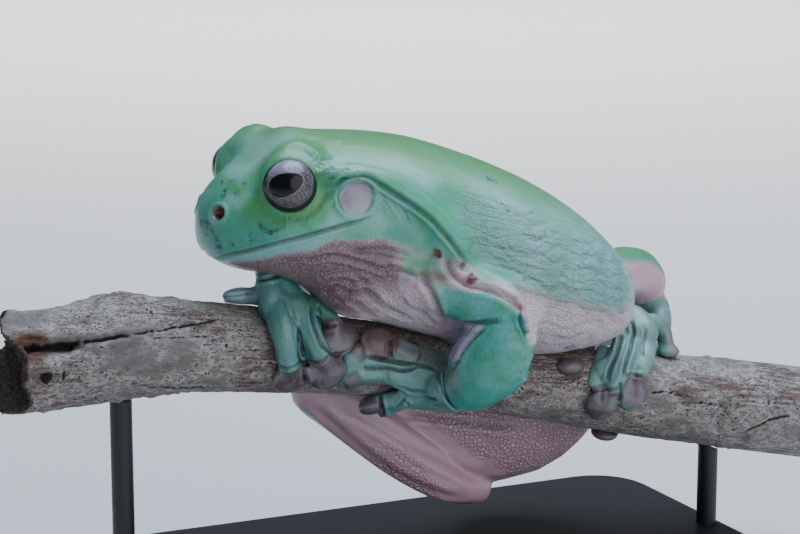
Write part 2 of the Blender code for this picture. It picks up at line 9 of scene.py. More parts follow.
import bmesh
import bpy
import numpy as np
from bpy.props import FloatProperty, FloatVectorProperty, PointerProperty
from mathutils import noise, Matrix, Vector
from mathutils.bvhtree import BVHTree


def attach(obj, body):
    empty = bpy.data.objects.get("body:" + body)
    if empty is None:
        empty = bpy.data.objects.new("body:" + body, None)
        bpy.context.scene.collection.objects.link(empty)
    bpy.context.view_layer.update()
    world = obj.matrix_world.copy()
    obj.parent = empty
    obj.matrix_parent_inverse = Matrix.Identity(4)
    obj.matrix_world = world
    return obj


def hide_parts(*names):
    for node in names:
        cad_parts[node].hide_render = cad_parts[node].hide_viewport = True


bl_info = {
    "name": "Tree frog on a branch",
    "version": (1, 0, 0),
    "blender": (4, 5, 0),
    "location": "View3D > Sidebar > Tree frog",
    "description": "Dresses the packed tree frog, its branch and its display stand",
    "category": "Object",
}

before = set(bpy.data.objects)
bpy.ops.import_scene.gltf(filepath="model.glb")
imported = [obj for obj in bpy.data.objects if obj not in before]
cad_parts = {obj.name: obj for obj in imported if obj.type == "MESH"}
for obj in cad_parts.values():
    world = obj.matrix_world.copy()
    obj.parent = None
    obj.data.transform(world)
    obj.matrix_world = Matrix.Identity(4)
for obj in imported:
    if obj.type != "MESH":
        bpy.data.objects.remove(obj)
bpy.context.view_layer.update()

MM = 0.001
AXIS_HEIGHT = 43.5          # branch axis above the table

EYE_CENTRE = (-23.7, 10.9, 32.0)
EYE_AXIS = (-0.36, 0.91, 0.16)
LID_OPENING = 74.0          # degrees from the eye's axis to the edge of the lids
EARDRUM_CENTRE = (-14.6, 15.6, 30.2)
EARDRUM_AXIS = (-0.12, 0.98, 0.12)

BRANCH_AXIS = [      # X, height, radius
    (-66, 6.2, 8), (-57, 6.2, 7.7), (-46, 6.7, 8.3), (-35, 5.6, 7.4), (-18, 3.1, 6.7), (0, -0.4, 6.3),
    (15, -3.9, 6.4), (30, -7.4, 6.7), (38, -9.2, 7), (56, -12.8, 7.9), (79, -17.6, 8.3), (85, -18.8, 8.4),
]

MOUTH_LINE = [
    (-34.2, 0, 20.3), (-32.9, 2, 20.2), (-31.7, 6.1, 21.2), (-29.5, 9.3, 22.4), (-26.4, 11.9, 23.6),
    (-23.3, 13.2, 24.4), (-19.7, 14.2, 25.3), (-15.9, 14.9, 26.3), (-13.2, 15.8, 26.9),
    (-10.7, 15.8, 27.3),
]
EAR_FOLD = [
    (-18.7, 13.2, 31.7), (-17.9, 14.1, 32.5), (-17.1, 15.3, 33), (-15.5, 16.2, 33.4), (-13.5, 16.8, 33.6),
    (-11.3, 16.9, 32.3), (-8.9, 17.2, 30.6), (-6.1, 17.9, 28.7), (-3.3, 18.6, 26.5), (-1, 19.1, 23.8),
    (1.2, 19.3, 21.1), (3.1, 20.1, 18.4),
]

# creases of the skin: depth, half width, height of the roll beside it, darkness of the shade painted
# in the groove, 2 where both sides of the frog have it; then the lines with that shape
CREASES = [
    ((0.5, 0.3, 0.22, 1, 2), [
        MOUTH_LINE]),
    ((0.55, 0.32, 0.4, 0.85, 2), [
        EAR_FOLD]),
    ((0.3, 0.35, 0.1, 0.7, 2), [
        [(-15.5, 14.9, 21.9), (-13.5, 15.2, 21.5), (-11.1, 15.5, 21.2), (-7.7, 15.8, 20.3),
         (-6, 16.1, 19.9)]]),
    ((0.65, 0.55, 0.4, 0.45, 1), [
        [(-16, -10.6, 15.2), (-14.3, -11, 15), (-12.2, -12.2, 15), (-10.5, -12.2, 14.2),
         (-8.2, -11.6, 12.4), (-5, -10.7, 10.4), (-1.9, -9.8, 8.4)]]),
    ((0.5, 0.5, 0.3, 0.4, 1), [
        [(-14, -13, 17.4), (-12.7, -13.2, 16.6), (-11.1, -12.8, 15.2), (-8.8, -12.4, 13.3),
         (-5.8, -11.6, 11.4), (-3, -10.9, 9.6)]]),
    ((0.45, 0.5, 0.3, 0.35, 1), [
        [(-14.6, -10.4, 14.4), (-12.9, -10.2, 13.6), (-10.3, -9.2, 11.5), (-7.3, -7.2, 9.3)]]),
    ((0.3, 0.45, 0.2, 0.2, 1), [
        [(-16.4, -7.8, 14.3), (-16.4, -10.1, 15.5), (-15.8, -11.6, 16.4)]]),
    ((0.55, 0.55, 0.35, 0.35, 1), [
        [(-16, 8.6, 15.2), (-12.2, 11.4, 15), (-8.2, 11.6, 12.4), (-4.4, 10.7, 10.4)]]),
    ((0.45, 0.5, 0.2, 0.5, 1), [
        [(-0.9, -18, 21), (-0.4, -19.7, 17.9), (1, -21, 16.4), (2.7, -22, 15.8), (4.4, -22.7, 15.4),
         (6.5, -23.8, 14.4), (8.5, -24.9, 12.9), (9.9, -25.6, 11)]]),
    ((0.5, 0.5, 0.35, 0.55, 1), [
        [(-5, -17.3, 17.6), (-3.5, -18.4, 15.5), (-2, -18, 13), (0.4, -15.4, 10.6), (2.8, -13, 8.4)]]),
    ((0.55, 0.42, 0.28, 0.6, 1), [
        [(3.4, -13.6, 8.6), (2.8, -17, 9.6), (2.4, -19.5, 10.2), (3.3, -21.3, 10.1), (4.3, -22.8, 10.5),
         (6.3, -24.4, 10.8)]]),
    ((0.5, 0.32, 0.25, 0.45, 1), [
        [(4.6, -22.8, 10), (3, -21.7, 8.1), (1.8, -20.6, 6.1), (1, -19.8, 3.9), (0.6, -18.4, 2.4)]]),
    ((0.25, 0.22, 0.15, 0.3, 1), [
        [(3.6, -21.4, 9.6), (2.4, -19.8, 8), (1.2, -18.4, 6.2)],
        [(3.8, -21.8, 9.2), (2.5, -20.8, 7.4), (1.2, -19.4, 5)]]),
    ((0.4, 0.26, 0.35, 0.35, 1), [
        [(8.9, -25.1, 12), (8.6, -25.4, 10.9), (8.8, -25.7, 9.6), (9.6, -26.2, 8.5)]]),
    ((0.07, 0.2, 0.03, 0.35, 2), [
        [(5.3, -17.5, 22.8), (8.5, -17.5, 23.9), (12.8, -18.2, 22.9), (16.8, -18.6, 21.9),
         (21.5, -18.2, 21.2), (27, -16.7, 19.7)]]),
    ((0.08, 0.2, 0.03, 0.45, 2), [
        [(1.5, -18.7, 23.3), (5.5, -17.6, 22.6), (9.4, -18.6, 21.1), (13.5, -19.3, 20.1),
         (17.6, -19.8, 19.1), (19.5, -20.3, 17.6), (24.2, -19.9, 16.5)]]),
    ((0.08, 0.2, 0.03, 0.5, 2), [
        [(5, -18.8, 19.2), (9.2, -19.3, 18), (13.1, -20, 16.7), (15.8, -20.5, 14.5), (19.5, -20.9, 14),
         (23.2, -20.7, 13.6), (26.6, -20.2, 12.2)],
        [(8.3, -22.8, 16), (13.4, -21.5, 14.2), (18.1, -20.8, 12.2), (21.6, -20.9, 11.4),
         (23.7, -20.5, 9.5), (28, -19.5, 8.6)]]),
    ((0.12, 0.18, 0.05, 0.8, 2), [
        [(-28.5, 11.3, 25.1), (-27.6, 11.9, 25.5), (-26.7, 12.3, 25.6), (-25.6, 12.5, 25.4)]]),
    ((0.22, 0.28, 0.12, 0.35, 2), [
        [(-19.1, 11.9, 35.7), (-17.6, 11.1, 35.7), (-16, 10.6, 35.7)],
        [(-19.2, 12.8, 34.4), (-17.5, 13.6, 35), (-13.8, 12.4, 35.3)],
        [(-19.2, 14, 33.3), (-17.5, 15.2, 33.7), (-15.7, 15.7, 34.6)]]),
    ((0.2, 0.3, 0.14, 0.25, 2), [
        [(-26.2, 11.5, 27.5), (-23.2, 12.7, 27.1), (-21, 13.4, 28.1), (-19.4, 13.4, 30),
         (-18.6, 13.2, 31.6)]]),
    ((0.15, 0.22, 0.08, 0.55, 2), [
        [(-21.8, 10.9, 37.4), (-20.5, 11.7, 36.6), (-19.9, 12.4, 35.2), (-19.2, 13.3, 34)]]),
    ((0.2, 0.17, 0.14, 0.55, 2), [
        [(-19.9, -11, 37.4), (-19.5, -11.8, 36.2), (-19.4, -12.7, 34.9), (-19.5, -14, 33.7)],
        [(-19.7, -12.2, 35.6), (-18.5, -12.8, 35), (-17.9, -15, 34.4)],
        [(-19.8, -13.5, 34.4), (-18.6, -14.5, 33.7), (-17.2, -14.9, 32.5)],
        [(-18.7, -14.2, 32.6), (-17.6, -15.4, 33.5), (-15.6, -15.4, 33.5), (-13.9, -16.3, 32.9)],
        [(-17.3, -14.6, 31.8), (-15.9, -15.8, 32.8), (-13.7, -15.6, 32.3), (-12, -16.4, 31.4)],
        [(-19.1, -13.5, 31.9), (-18, -14, 32.2), (-16.6, -14.2, 31.4)],
        [(-13.6, -16, 32.7), (-11.9, -16.7, 31.6), (-10, -16, 29.8)],
        [(-12.5, -16.3, 33), (-10.3, -16.3, 31.6), (-9.1, -16.9, 30)],
        [(-16.5, -15.3, 34.8), (-15.7, -16.1, 34.2), (-14.6, -16.1, 33.1)],
        [(-10.3, -15.9, 29.8), (-9.1, -15.9, 28), (-7.8, -16, 26)],
        [(-18.2, -11.4, 35.8), (-16.7, -10.6, 35.6), (-15.9, -11.6, 35.2)],
        [(-8.8, -17, 29.7), (-7.1, -16.7, 27.7), (-5.8, -16.5, 25.4)]]),
    ((0.4, 0.38, 0.26, 0.4, 1), [
        [(-22.6, -12, 20.2), (-18.4, -14, 21.2), (-13.7, -14.7, 20), (-8.8, -15.2, 17.8)],
        [(-18.7, -9.9, 16.7), (-15.2, -12.4, 16.9), (-11.2, -12.2, 14.9), (-7.3, -11.1, 11.8)],
        [(-14.6, -14.9, 22), (-9.9, -15.8, 21.8), (-5.8, -16.1, 20.6)],
        [(-11.6, -14.7, 18.9), (-8.1, -15.5, 18.7), (-5, -17.3, 17.5)],
        [(-15.3, -8.7, 13), (-13.1, -10.3, 13.1), (-9.6, -10.2, 10.9)],
        [(-7.1, -15.2, 14.2), (-2.6, -13, 11.1), (2, -10.9, 7.5)]]),
]
NOSTRIL = (-33.0, 4.6, 27.5)
# small pale warts of both sides: place, radius
WARTS = [
    ((-17.6, 4, 38.1), 0.3), ((-16.7, 4.4, 38.3), 0.32), ((-13.6, 6.6, 38.1), 0.3),
    ((-21.2, 11.2, 37.1), 0.22), ((-20.3, 12, 36), 0.3), ((-19.9, 12.2, 35.2), 0.34),
    ((-19.2, 13.3, 34.2), 0.3), ((-27.5, 11, 26.9), 0.28), ((-18.2, 14, 29.6), 0.28),
    ((-17.6, 14.4, 28.6), 0.26),
]
# dark fungus-like flecks on the left of the face and back: place, radius, stretch along X
FLECKS = [
    ((-31, -0.8, 31.9), 0.55, 1), ((-30.4, -5.7, 30.8), 0.5, 1.2), ((-31.9, -4, 30.2), 0.6, 1.3),
    ((-29.2, -5.6, 32), 0.35, 1.2), ((-34.7, -1, 25.3), 0.8, 0.8), ((-34.4, -2.3, 24.4), 0.8, 0.8),
    ((-33.4, -5.2, 23.4), 0.7, 0.7), ((-33.3, -5.6, 22.2), 0.8, 0.7), ((-28.6, -10.6, 26.1), 0.45, 1),
    ((-29.9, -10, 24.8), 0.4, 1), ((-26.7, -12.7, 24.6), 0.4, 1), ((10.3, -11.4, 30.9), 0.75, 1),
    ((11.4, -11.6, 30.4), 0.5, 1), ((10.9, -15.4, 27.3), 0.4, 1), ((11.4, -16, 26.5), 0.5, 1),
    ((2.1, -11.1, 33.2), 0.45, 1), ((28.3, -13.8, 21.1), 0.35, 1), ((23.7, -14.4, 2.5), 0.95, 1.4),
    ((-34.3, -2.7, 25.3), 0.85, 1.3), ((-34.3, -2.4, 24.1), 0.7, 1.3), ((-33.6, -4.7, 23.3), 0.8, 1.3),
    ((-33.3, -5, 22.4), 0.7, 1.3), ((-31.2, -1.5, 31.6), 0.5, 1.3), ((-31.5, -3.5, 30.8), 0.5, 1.3),
    ((-31.1, -0.7, 31.8), 0.35, 1.3), ((-30.5, -5.7, 30.6), 0.4, 1.3), ((-30.3, -3.1, 32.1), 0.35, 1.3),
    ((-28.4, -11.1, 25.7), 0.55, 1.3), ((-27.5, -12, 25.2), 0.6, 1.3), ((-26.5, -12.4, 25.5), 0.4, 1.3),
    ((-28.6, -10.6, 26.4), 0.35, 1.3), ((-25.5, -12.8, 26.2), 0.3, 1.3), ((-29.8, -10.2, 24), 0.45, 1.3),
    ((-32, -7.5, 23.2), 0.5, 1.3), ((-33.9, -3.9, 24.5), 0.6, 1.3),
]
# red sores on the shoulder: place, radius
SORES = [
    ((-1.9, -17.6, 20.9), 1.05), ((1.5, -19.5, 19), 0.75), ((2.3, -21.2, 17.1), 1.15),
]
THROAT_BORDER = [      # lower edge of the green, seen from the side: X, height
    (-36, 18.6), (-31.5, 19.5), (-28.8, 20.4), (-26.4, 21.2), (-23.6, 22), (-20.7, 22.6), (-18.4, 23.5),
    (-14.5, 23.8), (-10.3, 23.2), (-6.7, 22.5), (-3.1, 21.8), (0, 20.2), (4.2, 16.8), (11.1, 14.9),
    (17.3, 12.6), (21.7, 11.4), (26.8, 9.8), (30, 9.2), (43, 8.4),
]

# outlines of coloured areas of the skin, followed on the side that faces the viewer
AREAS = {
    "not_arm": [(-7.5, -16.1, 23.2), (0.5, -19.2, 23.1), (11.7, -19.6, 17.8), (25.8, -20.4, 11.6),
        (25.5, -19.6, 5), (15.5, -20.4, 5), (10.3, -26.4, 6.9), (10, -26.2, 8.5), (9.3, -25.5, 11.2),
        (7.9, -24.8, 12.6), (6.5, -23.8, 13.9), (4.6, -22.5, 15.1), (1.8, -21.8, 15.4),
        (-0.1, -20.8, 15.9), (-1.3, -19.9, 16.3), (-2.6, -19.4, 15.8), (-2.2, -18, 13.6),
        (0.7, -14.2, 10.4), (-0.6, -10.8, 8.5), (-6.8, -14.7, 13.4)],
    "sore_field": [(-0.4, -18.5, 20.2), (1.1, -19, 20.7), (3, -19.4, 19.5), (4.4, -20.7, 18),
        (6.7, -22.4, 16.5), (5.8, -23.1, 15.9), (3.4, -22, 15.8), (1.2, -20.8, 16.1), (-0.3, -19.7, 17.3),
        (-0.6, -18.6, 18.7)],
    "dark_red": [(-4.8, -17.3, 18.1), (-3, -18.2, 18.5), (-1.1, -19.3, 18), (-0.7, -19.9, 17.2),
        (-2.2, -19.3, 16.6), (-3.8, -18.4, 16.8)],
    "speckled": [(-7.1, -16, 16.9), (-5.4, -17.1, 17.2), (-3.6, -18, 16.3), (-2.2, -18.6, 13.7),
        (-0.4, -17.6, 11), (0.4, -12.7, 9.5), (-1.8, -12.8, 10.7), (-5.2, -15.6, 13.1), (-7, -15.7, 14.9)],
    "grey_shoulder": [(-7.8, -16, 22.3), (-4.6, -16.5, 22.9), (-1.7, -18.2, 22.3), (-0.4, -18.5, 20.2),
        (-0.3, -19.1, 18.1), (-3.5, -18.6, 16.5), (-6.1, -16.7, 17.1), (-7.7, -15.7, 19)],
    "flap": [(3, -12.3, 8), (4.1, -14.4, 9), (3.4, -20.7, 10.1), (3.9, -22.6, 9.7), (3, -21.5, 8.1),
        (1.8, -20.5, 6.1), (1, -20, 4.1), (0.7, -17.8, 3.4), (0.6, -15.6, 4.2), (1.6, -13.4, 6)],
    "elbow_knob": [(9.3, -25.1, 12), (9.9, -25.8, 10.5), (9.9, -26.2, 8.7), (9.2, -25.8, 9.3),
        (8.9, -25.3, 10.9)],
    # painted shade, brownish, along the edge of the forearm
    "forearm_brown_shade": [(0, -17, 2.6), (0.9, -19.5, 4), (0.5, -19.6, 0.9), (1, -19.4, -1.6),
        (0.4, -17.8, -1.4), (0.2, -16.3, 0.2)],
    "chest_pale": [(-7.4, -14.1, 13.3), (-1.8, -11.4, 9.4), (3.5, -9.9, 6.3), (4.2, -9, 4.6),
        (0.6, -8, 5.4), (-3.1, -6.6, 7.4), (-10.1, -11.2, 11.7)],
    "face_green": [(-22.9, -13.1, 34.7), (-16.9, -10.8, 35.6), (-17.6, -14.3, 32.2), (-19.4, -14.5, 27.8),
        (-23.2, -13.7, 26.3), (-28.3, -10.9, 26.3), (-29.4, -8.6, 29.1), (-27.5, -7.3, 32.7)],
    "snout_blue": [(-34.4, -2.2, 25.3), (-31.6, -7.9, 24.3), (-27.5, -12.1, 24.1), (-23.3, -13.9, 25.3),
        (-23.7, -13.2, 24), (-29.7, -9.2, 21.3), (-33.1, -3.1, 20.5), (-34.2, -0.7, 21.9)],
    # this outline and the five after it mark painted highlights, where the light above gleams on the skin
    "nose_pale": [(-32, -3.6, 30.1), (-29.7, -5.3, 31.8), (-28.9, -8.2, 30.6), (-30.7, -7.7, 28.3),
        (-31.9, -5.8, 28.7)],
    "forehead": [(-26.2, 9.7, 36.3), (-24.3, 8.5, 37.8), (-20.7, -1.7, 38.6), (-21.4, -9.6, 38.5),
        (-25.9, -7.5, 36), (-29.4, -4.5, 32.4), (-30.4, -1.2, 32.3), (-27.5, 8.7, 33.6)],
    "temple": [(-18.6, -11.7, 35.8), (-13.9, -9.8, 36.5), (-4.9, -10.6, 35.1), (0.9, -13, 31.6),
        (-1.5, -14.3, 30.4), (-8.3, -16.1, 33), (-15.8, -15.9, 34.4), (-18.8, -14.4, 33.7)],
    "lid_top": [(-25.2, -10.6, 36.7), (-23.3, -10.2, 37.6), (-21.2, -11.1, 37.4), (-19.5, -12, 35.9),
        (-19.5, -13.7, 34.3), (-20.4, -12.7, 35.1), (-22.4, -12, 36.4)],
    "ear_ridge": [(-12.1, -15.8, 31.3), (-10.3, -16.6, 31), (-7.7, -17.2, 28.9), (-3.8, -17.2, 23.9),
        (-4.3, -16.6, 22.7), (-7.5, -16.1, 26), (-9.9, -15.7, 28.3), (-11.7, -15.7, 29.3)],
    "jaw_corner": [(-18.7, -14.8, 27.7), (-12, -15.6, 28.9), (-8.8, -15.9, 25.6), (-10.8, -15.8, 24),
        (-16.4, -15.2, 25), (-20, -14.8, 26.1)],
    # painted shade: a darker green band in the hollow between forehead and lids
    "brow_shade_green": [(-30.5, -1, 32.3), (-29.7, -5.4, 31.6), (-27.1, -5.4, 33.8), (-25.6, -6.8, 36.1),
        (-23.2, -7.8, 38.4), (-18.8, -4.2, 38.3), (-13.8, -3.5, 38.5), (-5.1, -5.3, 37.5),
        (-14.8, -7.8, 37.3), (-19.7, -10.2, 37.8), (-22.6, -10.1, 38), (-25.5, -10.1, 36.8),
        (-26.4, -6.7, 34.5), (-28.1, -6.4, 32.4), (-30.3, -6.7, 30.1), (-31.3, -4.2, 30.8)],
}
FRONT = (-0.415, -0.890, 0.191)      # toward the viewer

# fingers and toes: X, Y, Z, half width, half thickness
HAND_RIGHT = [
    [(-23.8, -2, 16.4, 2.1, 2), (-24.3, -3.8, 14.5, 2.2, 1.9), (-24.4, -5.2, 12.5, 2.1, 1.7),
     (-23.5, -5.8, 9.7, 1.95, 1.4), (-23.6, -7.5, 7, 1.65, 1.25), (-23.4, -8, 4.5, 1.8, 1.2)],
    [(-22.2, -2.8, 15.2, 2, 1.6), (-20.3, -4, 12.7, 2, 1.5), (-19, -4.3, 9.9, 1.7, 1.35),
     (-19.2, -6.5, 8.2, 1.35, 1.45), (-18.9, -7.3, 6.1, 1.4, 1.1), (-18.2, -7.6, 3.9, 1.5, 1)],
    [(-20.9, -4.1, 10.1, 0.8, 0.8), (-20.8, -6.7, 6.7, 0.65, 0.6), (-20.3, -7.2, 3.7, 0.5, 0.5)],
    [(-18.7, -2.6, 12.5, 1.3, 1.2), (-16, -2.6, 10.6, 1.5, 1.1), (-14.5, -3.6, 9.2, 1.7, 1.2),
     (-14.4, -4.9, 8.3, 1.4, 1.1)],
    [(-15.1, 1.2, 11.3, 0.6, 0.6), (-16.1, -2, 9.4, 0.6, 0.6), (-16.5, -4.7, 7.8, 0.5, 0.5)],
]
HAND_LEFT = [
    [(4.5, -8, -0.1, 1.8, 1.6), (2.8, -7.7, 1.1, 1.8, 1.5), (0.1, -7.5, 2, 1.6, 1.4),
     (-2.6, -7.2, 3.2, 1.7, 1.4), (-4.4, -6.8, 4, 1.6, 1.2)],
    [(0.4, -6.7, 0, 0.7, 0.6), (-2.3, -6.8, 0.6, 0.75, 0.6), (-4.6, -6.9, 0.9, 0.75, 0.6),
     (-7.1, -6.9, 1.2, 0.8, 0.6), (-9.2, -7, 2, 0.9, 0.7), (-10.6, -6.9, 3.3, 1, 0.8)],
    [(6.2, -6.7, -6.3, 1.9, 1.5), (3.1, -7.8, -3.8, 2.2, 1.6), (0.5, -8, -2.1, 2.1, 1.5),
     (-1.9, -7.8, -1.5, 1.8, 1.3), (-3.9, -7.6, -0.9, 1.35, 1.2), (-5.6, -7.5, -0.3, 1, 1),
     (-8.5, -7.5, 0, 0.98, 0.95), (-10.9, -7.5, 0.2, 1, 0.9)],
    [(6.6, -6, -7.2, 1.3, 1.3), (3.7, -6, -6.3, 1.5, 1.3), (0.9, -5.7, -5.8, 1.6, 1.3),
     (-1.4, -5.7, -5.4, 1.6, 1.3), (-2.6, -4.9, -5.9, 1.4, 1.3), (-4.5, -4.2, -6.9, 1.6, 1.2)],
]
FOOT_LEFT = [
    [(43.9, 1, 2.8, 1.2, 1.2), (42.7, -0.8, 0.8, 1.25, 1.1), (41.6, -1.5, -1.6, 1.2, 1),
     (38.1, -5.7, -3.3, 1.15, 1), (35.8, -7.6, -6.3, 1.15, 1)],
    [(46.1, 0.6, 2.3, 1.4, 1.2), (45.1, -0.6, 0.3, 1.45, 1.1), (44.1, -1.5, -1.8, 1.4, 1.1),
     (41, -5.7, -3.6, 1.35, 1), (40, -7, -5.3, 1.4, 1)],
    [(42.2, 0.4, 2.3, 0.6, 1.2), (39.9, -1.6, -0.2, 0.55, 1.2), (37.3, -4.9, -2.4, 0.5, 1.2),
     (34.5, -7.1, -5.1, 0.6, 1)],
    [(37.8, -1.9, -2, 1.7, 0.8), (34.5, -5.6, -4, 1.6, 0.7), (33, -6.8, -6, 1.5, 0.7)],
    [(47.6, 2, 1.9, 1.2, 1.2), (48.9, 1.6, 1.1, 1.2, 1), (50.1, 1.2, -0.1, 1.1, 1),
     (50.8, 0.8, -2.1, 1.1, 1), (50.9, 0.6, -3.6, 1.1, 0.9)],
    [(53.9, 12, 3.7, 2.4, 2.4), (56.2, 12, 1.3, 2.4, 2.4), (55.5, 10, -1.2, 2.3, 2.3)],
]

# round pads: centre, radius along the branch, radius round it
HAND_RIGHT_PADS = [
    (-22.2, -6.9, 0.5, 3.1, 2.6), (-16.4, -7.5, 1.1, 3.8, 2.7), (-13.8, -6.4, 6.3, 3.05, 2.8),
    (-27.5, 1, 13.1, 3, 1.75),
]
HAND_LEFT_PADS = [
    (-6.5, -6.5, 4.8, 2.5, 2.7), (-10.7, -6.8, 3.8, 1.4, 1.6), (-11.7, -6.7, -0.4, 1.7, 1.2),
    (-6.8, -3.4, -6.5, 2.15, 2.3),
]
FOOT_LEFT_PADS = [
    (33.9, -7.6, -9.4, 3.05, 2.95), (40, -7.7, -7.6, 2.1, 2.85), (28.9, -5.7, -2.8, 2.6, 1.6),
]

HAND_RIGHT_CREASES = [
    ((0.45, 0.3, 0.2, 0.8, 1), [
        [(-26.4, -1.6, 16), (-26.1, -2.8, 16), (-25.7, -3.9, 16.2), (-24.9, -4.4, 16.5),
         (-23.7, -4.3, 16.6), (-22.4, -3.6, 16.7)]]),
    ((0.25, 0.35, 0.05, 0.3, 1), [
        [(-23.3, -6.2, 14), (-23, -7.9, 12.2), (-22.9, -8.6, 10.5)]]),
    ((0.7, 0.3, 0.1, 0.7, 1), [
        [(-22.9, -8.6, 10.5), (-22.9, -9.3, 8.1), (-22.6, -9.5, 6.5), (-22, -9.2, 4.4)]]),
    ((0.55, 0.28, 0.1, 0.8, 1), [
        [(-22.6, -8.6, 10.5), (-21.4, -8.3, 8), (-20.6, -7.7, 5.8), (-20.3, -7.5, 3.5)]]),
    ((0.65, 0.3, 0.1, 0.75, 1), [
        [(-17.9, -5.4, 12.2), (-19, -7.9, 10.9), (-19.1, -9.2, 9), (-18.5, -9.6, 7), (-18, -9.8, 5.2)]]),
    ((0.4, 0.26, 0.08, 0.7, 1), [
        [(-16.7, -4.7, 11.7), (-16.6, -5.4, 10.4), (-17.6, -8.2, 9.1)]]),
    ((0.8, 0.3, 0.16, 0.8, 1), [
        [(-18.3, -9.4, 7.2), (-17.6, -9.4, 5.6), (-15.8, -8.5, 4.3), (-13.8, -8.1, 4), (-12.2, -7.8, 4.5),
         (-11.2, -7.2, 5.6)]]),
    ((0.4, 0.26, 0.2, 0.55, 1), [
        [(-25.3, -8.4, 3.4), (-24.5, -9, 3.2), (-23.4, -9.6, 3.1), (-22.2, -9.5, 3.6), (-21, -8.6, 3.9)]]),
    ((0.85, 0.3, 0.18, 0.85, 1), [
        [(-20.2, -7.3, 3.6), (-20.6, -8.2, 2.2), (-20.2, -8, 0.7), (-19.4, -7.2, -1.2)]]),
    ((0.45, 0.26, 0.2, 0.55, 1), [
        [(-20.2, -7.7, 3.6), (-19.3, -8.4, 3.5), (-18.6, -9.4, 3.5), (-17.6, -9.6, 3.9),
         (-16.9, -9.4, 4.6)]]),
    ((0.16, 0.28, 0.04, 0.25, 1), [
        [(-22.7, -9.6, 2.5), (-22.5, -9.1, 1.2), (-22.2, -8.7, 0.4)]]),
    ((0.22, 0.25, 0.05, 0.35, 1), [
        [(-17.6, -8.9, 0.4), (-17.4, -8.1, -1.2)]]),
    ((0.35, 0.26, 0.2, 0.5, 1), [
        [(-16.8, -5, 8.2), (-16.1, -5.4, 8.2), (-15.2, -6.4, 8.3), (-14.2, -6.8, 8.6)]]),
    ((0.2, 0.24, 0.1, 0.6, 1), [
        [(-30.6, 1, 13), (-29.6, -0.2, 13.2), (-28.4, -0.6, 13.3), (-27, -0.7, 13.5), (-25.4, -0.6, 13.5)]]),
]
HAND_LEFT_CREASES = [
    ((0.75, 0.28, 0.14, 0.85, 1), [
        [(-9.8, -7.6, 3.2), (-7.6, -8, 2.6), (-5.7, -8.2, 2.1), (-3.6, -8.7, 1.6), (-1.3, -9.4, 1.2),
         (0.2, -10, 0.9), (1.3, -10.4, 0.5), (2.2, -10.8, 0)]]),
    ((0.65, 0.26, 0.12, 0.8, 1), [
        [(-10.5, -8.1, 1.5), (-8.8, -8.4, 1.3), (-5.7, -8.8, 1.1), (-3.9, -9.2, 0.6), (-2.2, -9.3, 0.7),
         (-1, -9.6, 1)]]),
    ((0.45, 0.28, 0.22, 0.6, 1), [
        [(-5.1, -7, 5.8), (-5.4, -8, 4.5), (-5.7, -8.2, 3.4), (-5.4, -8.2, 2.4)]]),
    ((0.3, 0.26, 0.16, 0.5, 1), [
        [(-0.2, -8.2, 3.6), (-0.5, -9, 2.8), (-1, -9.5, 2.1), (-1.5, -9.4, 1.5)]]),
    ((0.45, 0.34, 0.15, 0.55, 1), [
        [(1.8, -11, 0.2), (0.7, -13.4, -0.4), (0.1, -15.1, -0.6), (0.2, -15.9, -1.8), (1.1, -15.9, -3.2),
         (2.6, -15, -4.4)]]),
    ((0.75, 0.3, 0.14, 0.8, 1), [
        [(-5.6, -8, -1.8), (-4.4, -8.8, -2.1), (-2.2, -9.2, -3), (-0.6, -11.2, -3.5), (0.2, -14.6, -3.5)]]),
    ((0.22, 0.24, 0.16, 0.4, 1), [
        [(-6.4, -8.9, 0.9), (-6.4, -9.2, -0.2), (-6.3, -8.9, -1)]]),
    ((0.35, 0.24, 0.2, 0.7, 1), [
        [(-3, -8.1, -4.3), (-3.4, -7.8, -5.2), (-4, -6.9, -6.3)]]),
    ((0.3, 0.22, 0.16, 0.65, 1), [
        [(-3, -8.1, -4.5), (-2.6, -8.3, -5.2), (-2, -8.1, -5.8)]]),
    ((0.6, 0.28, 0.24, 0.75, 1), [
        [(-5.7, -4.6, -3.9), (-5.9, -5.7, -5.5), (-5.4, -5.1, -7.1), (-4.4, -4, -8.4)]]),
]
LEG_RIGHT_CREASES = [
    ((0.22, 0.8, 0.35, 0.12, 1), [
        [(-9.3, 7.5, -7.2), (-2.4, 6.8, -11.6), (5.1, 6.8, -16.6), (13.3, 8.3, -21.8), (19.4, 9.7, -26.1)]]),
    ((0.2, 0.7, 0.25, 0.1, 1), [
        [(-12.4, 8.8, -7.5), (-6.2, 8.4, -14.1), (1.1, 8.3, -20.3), (9.5, 8.2, -25.6), (16.6, 9, -28.1)]]),
    ((0.4, 0.5, 0.3, 0.35, 1), [
        [(4.4, 9.4, -12.1), (11.5, 8.5, -13.5), (18.7, 7.7, -15), (26, 6.8, -16.5)]]),
]
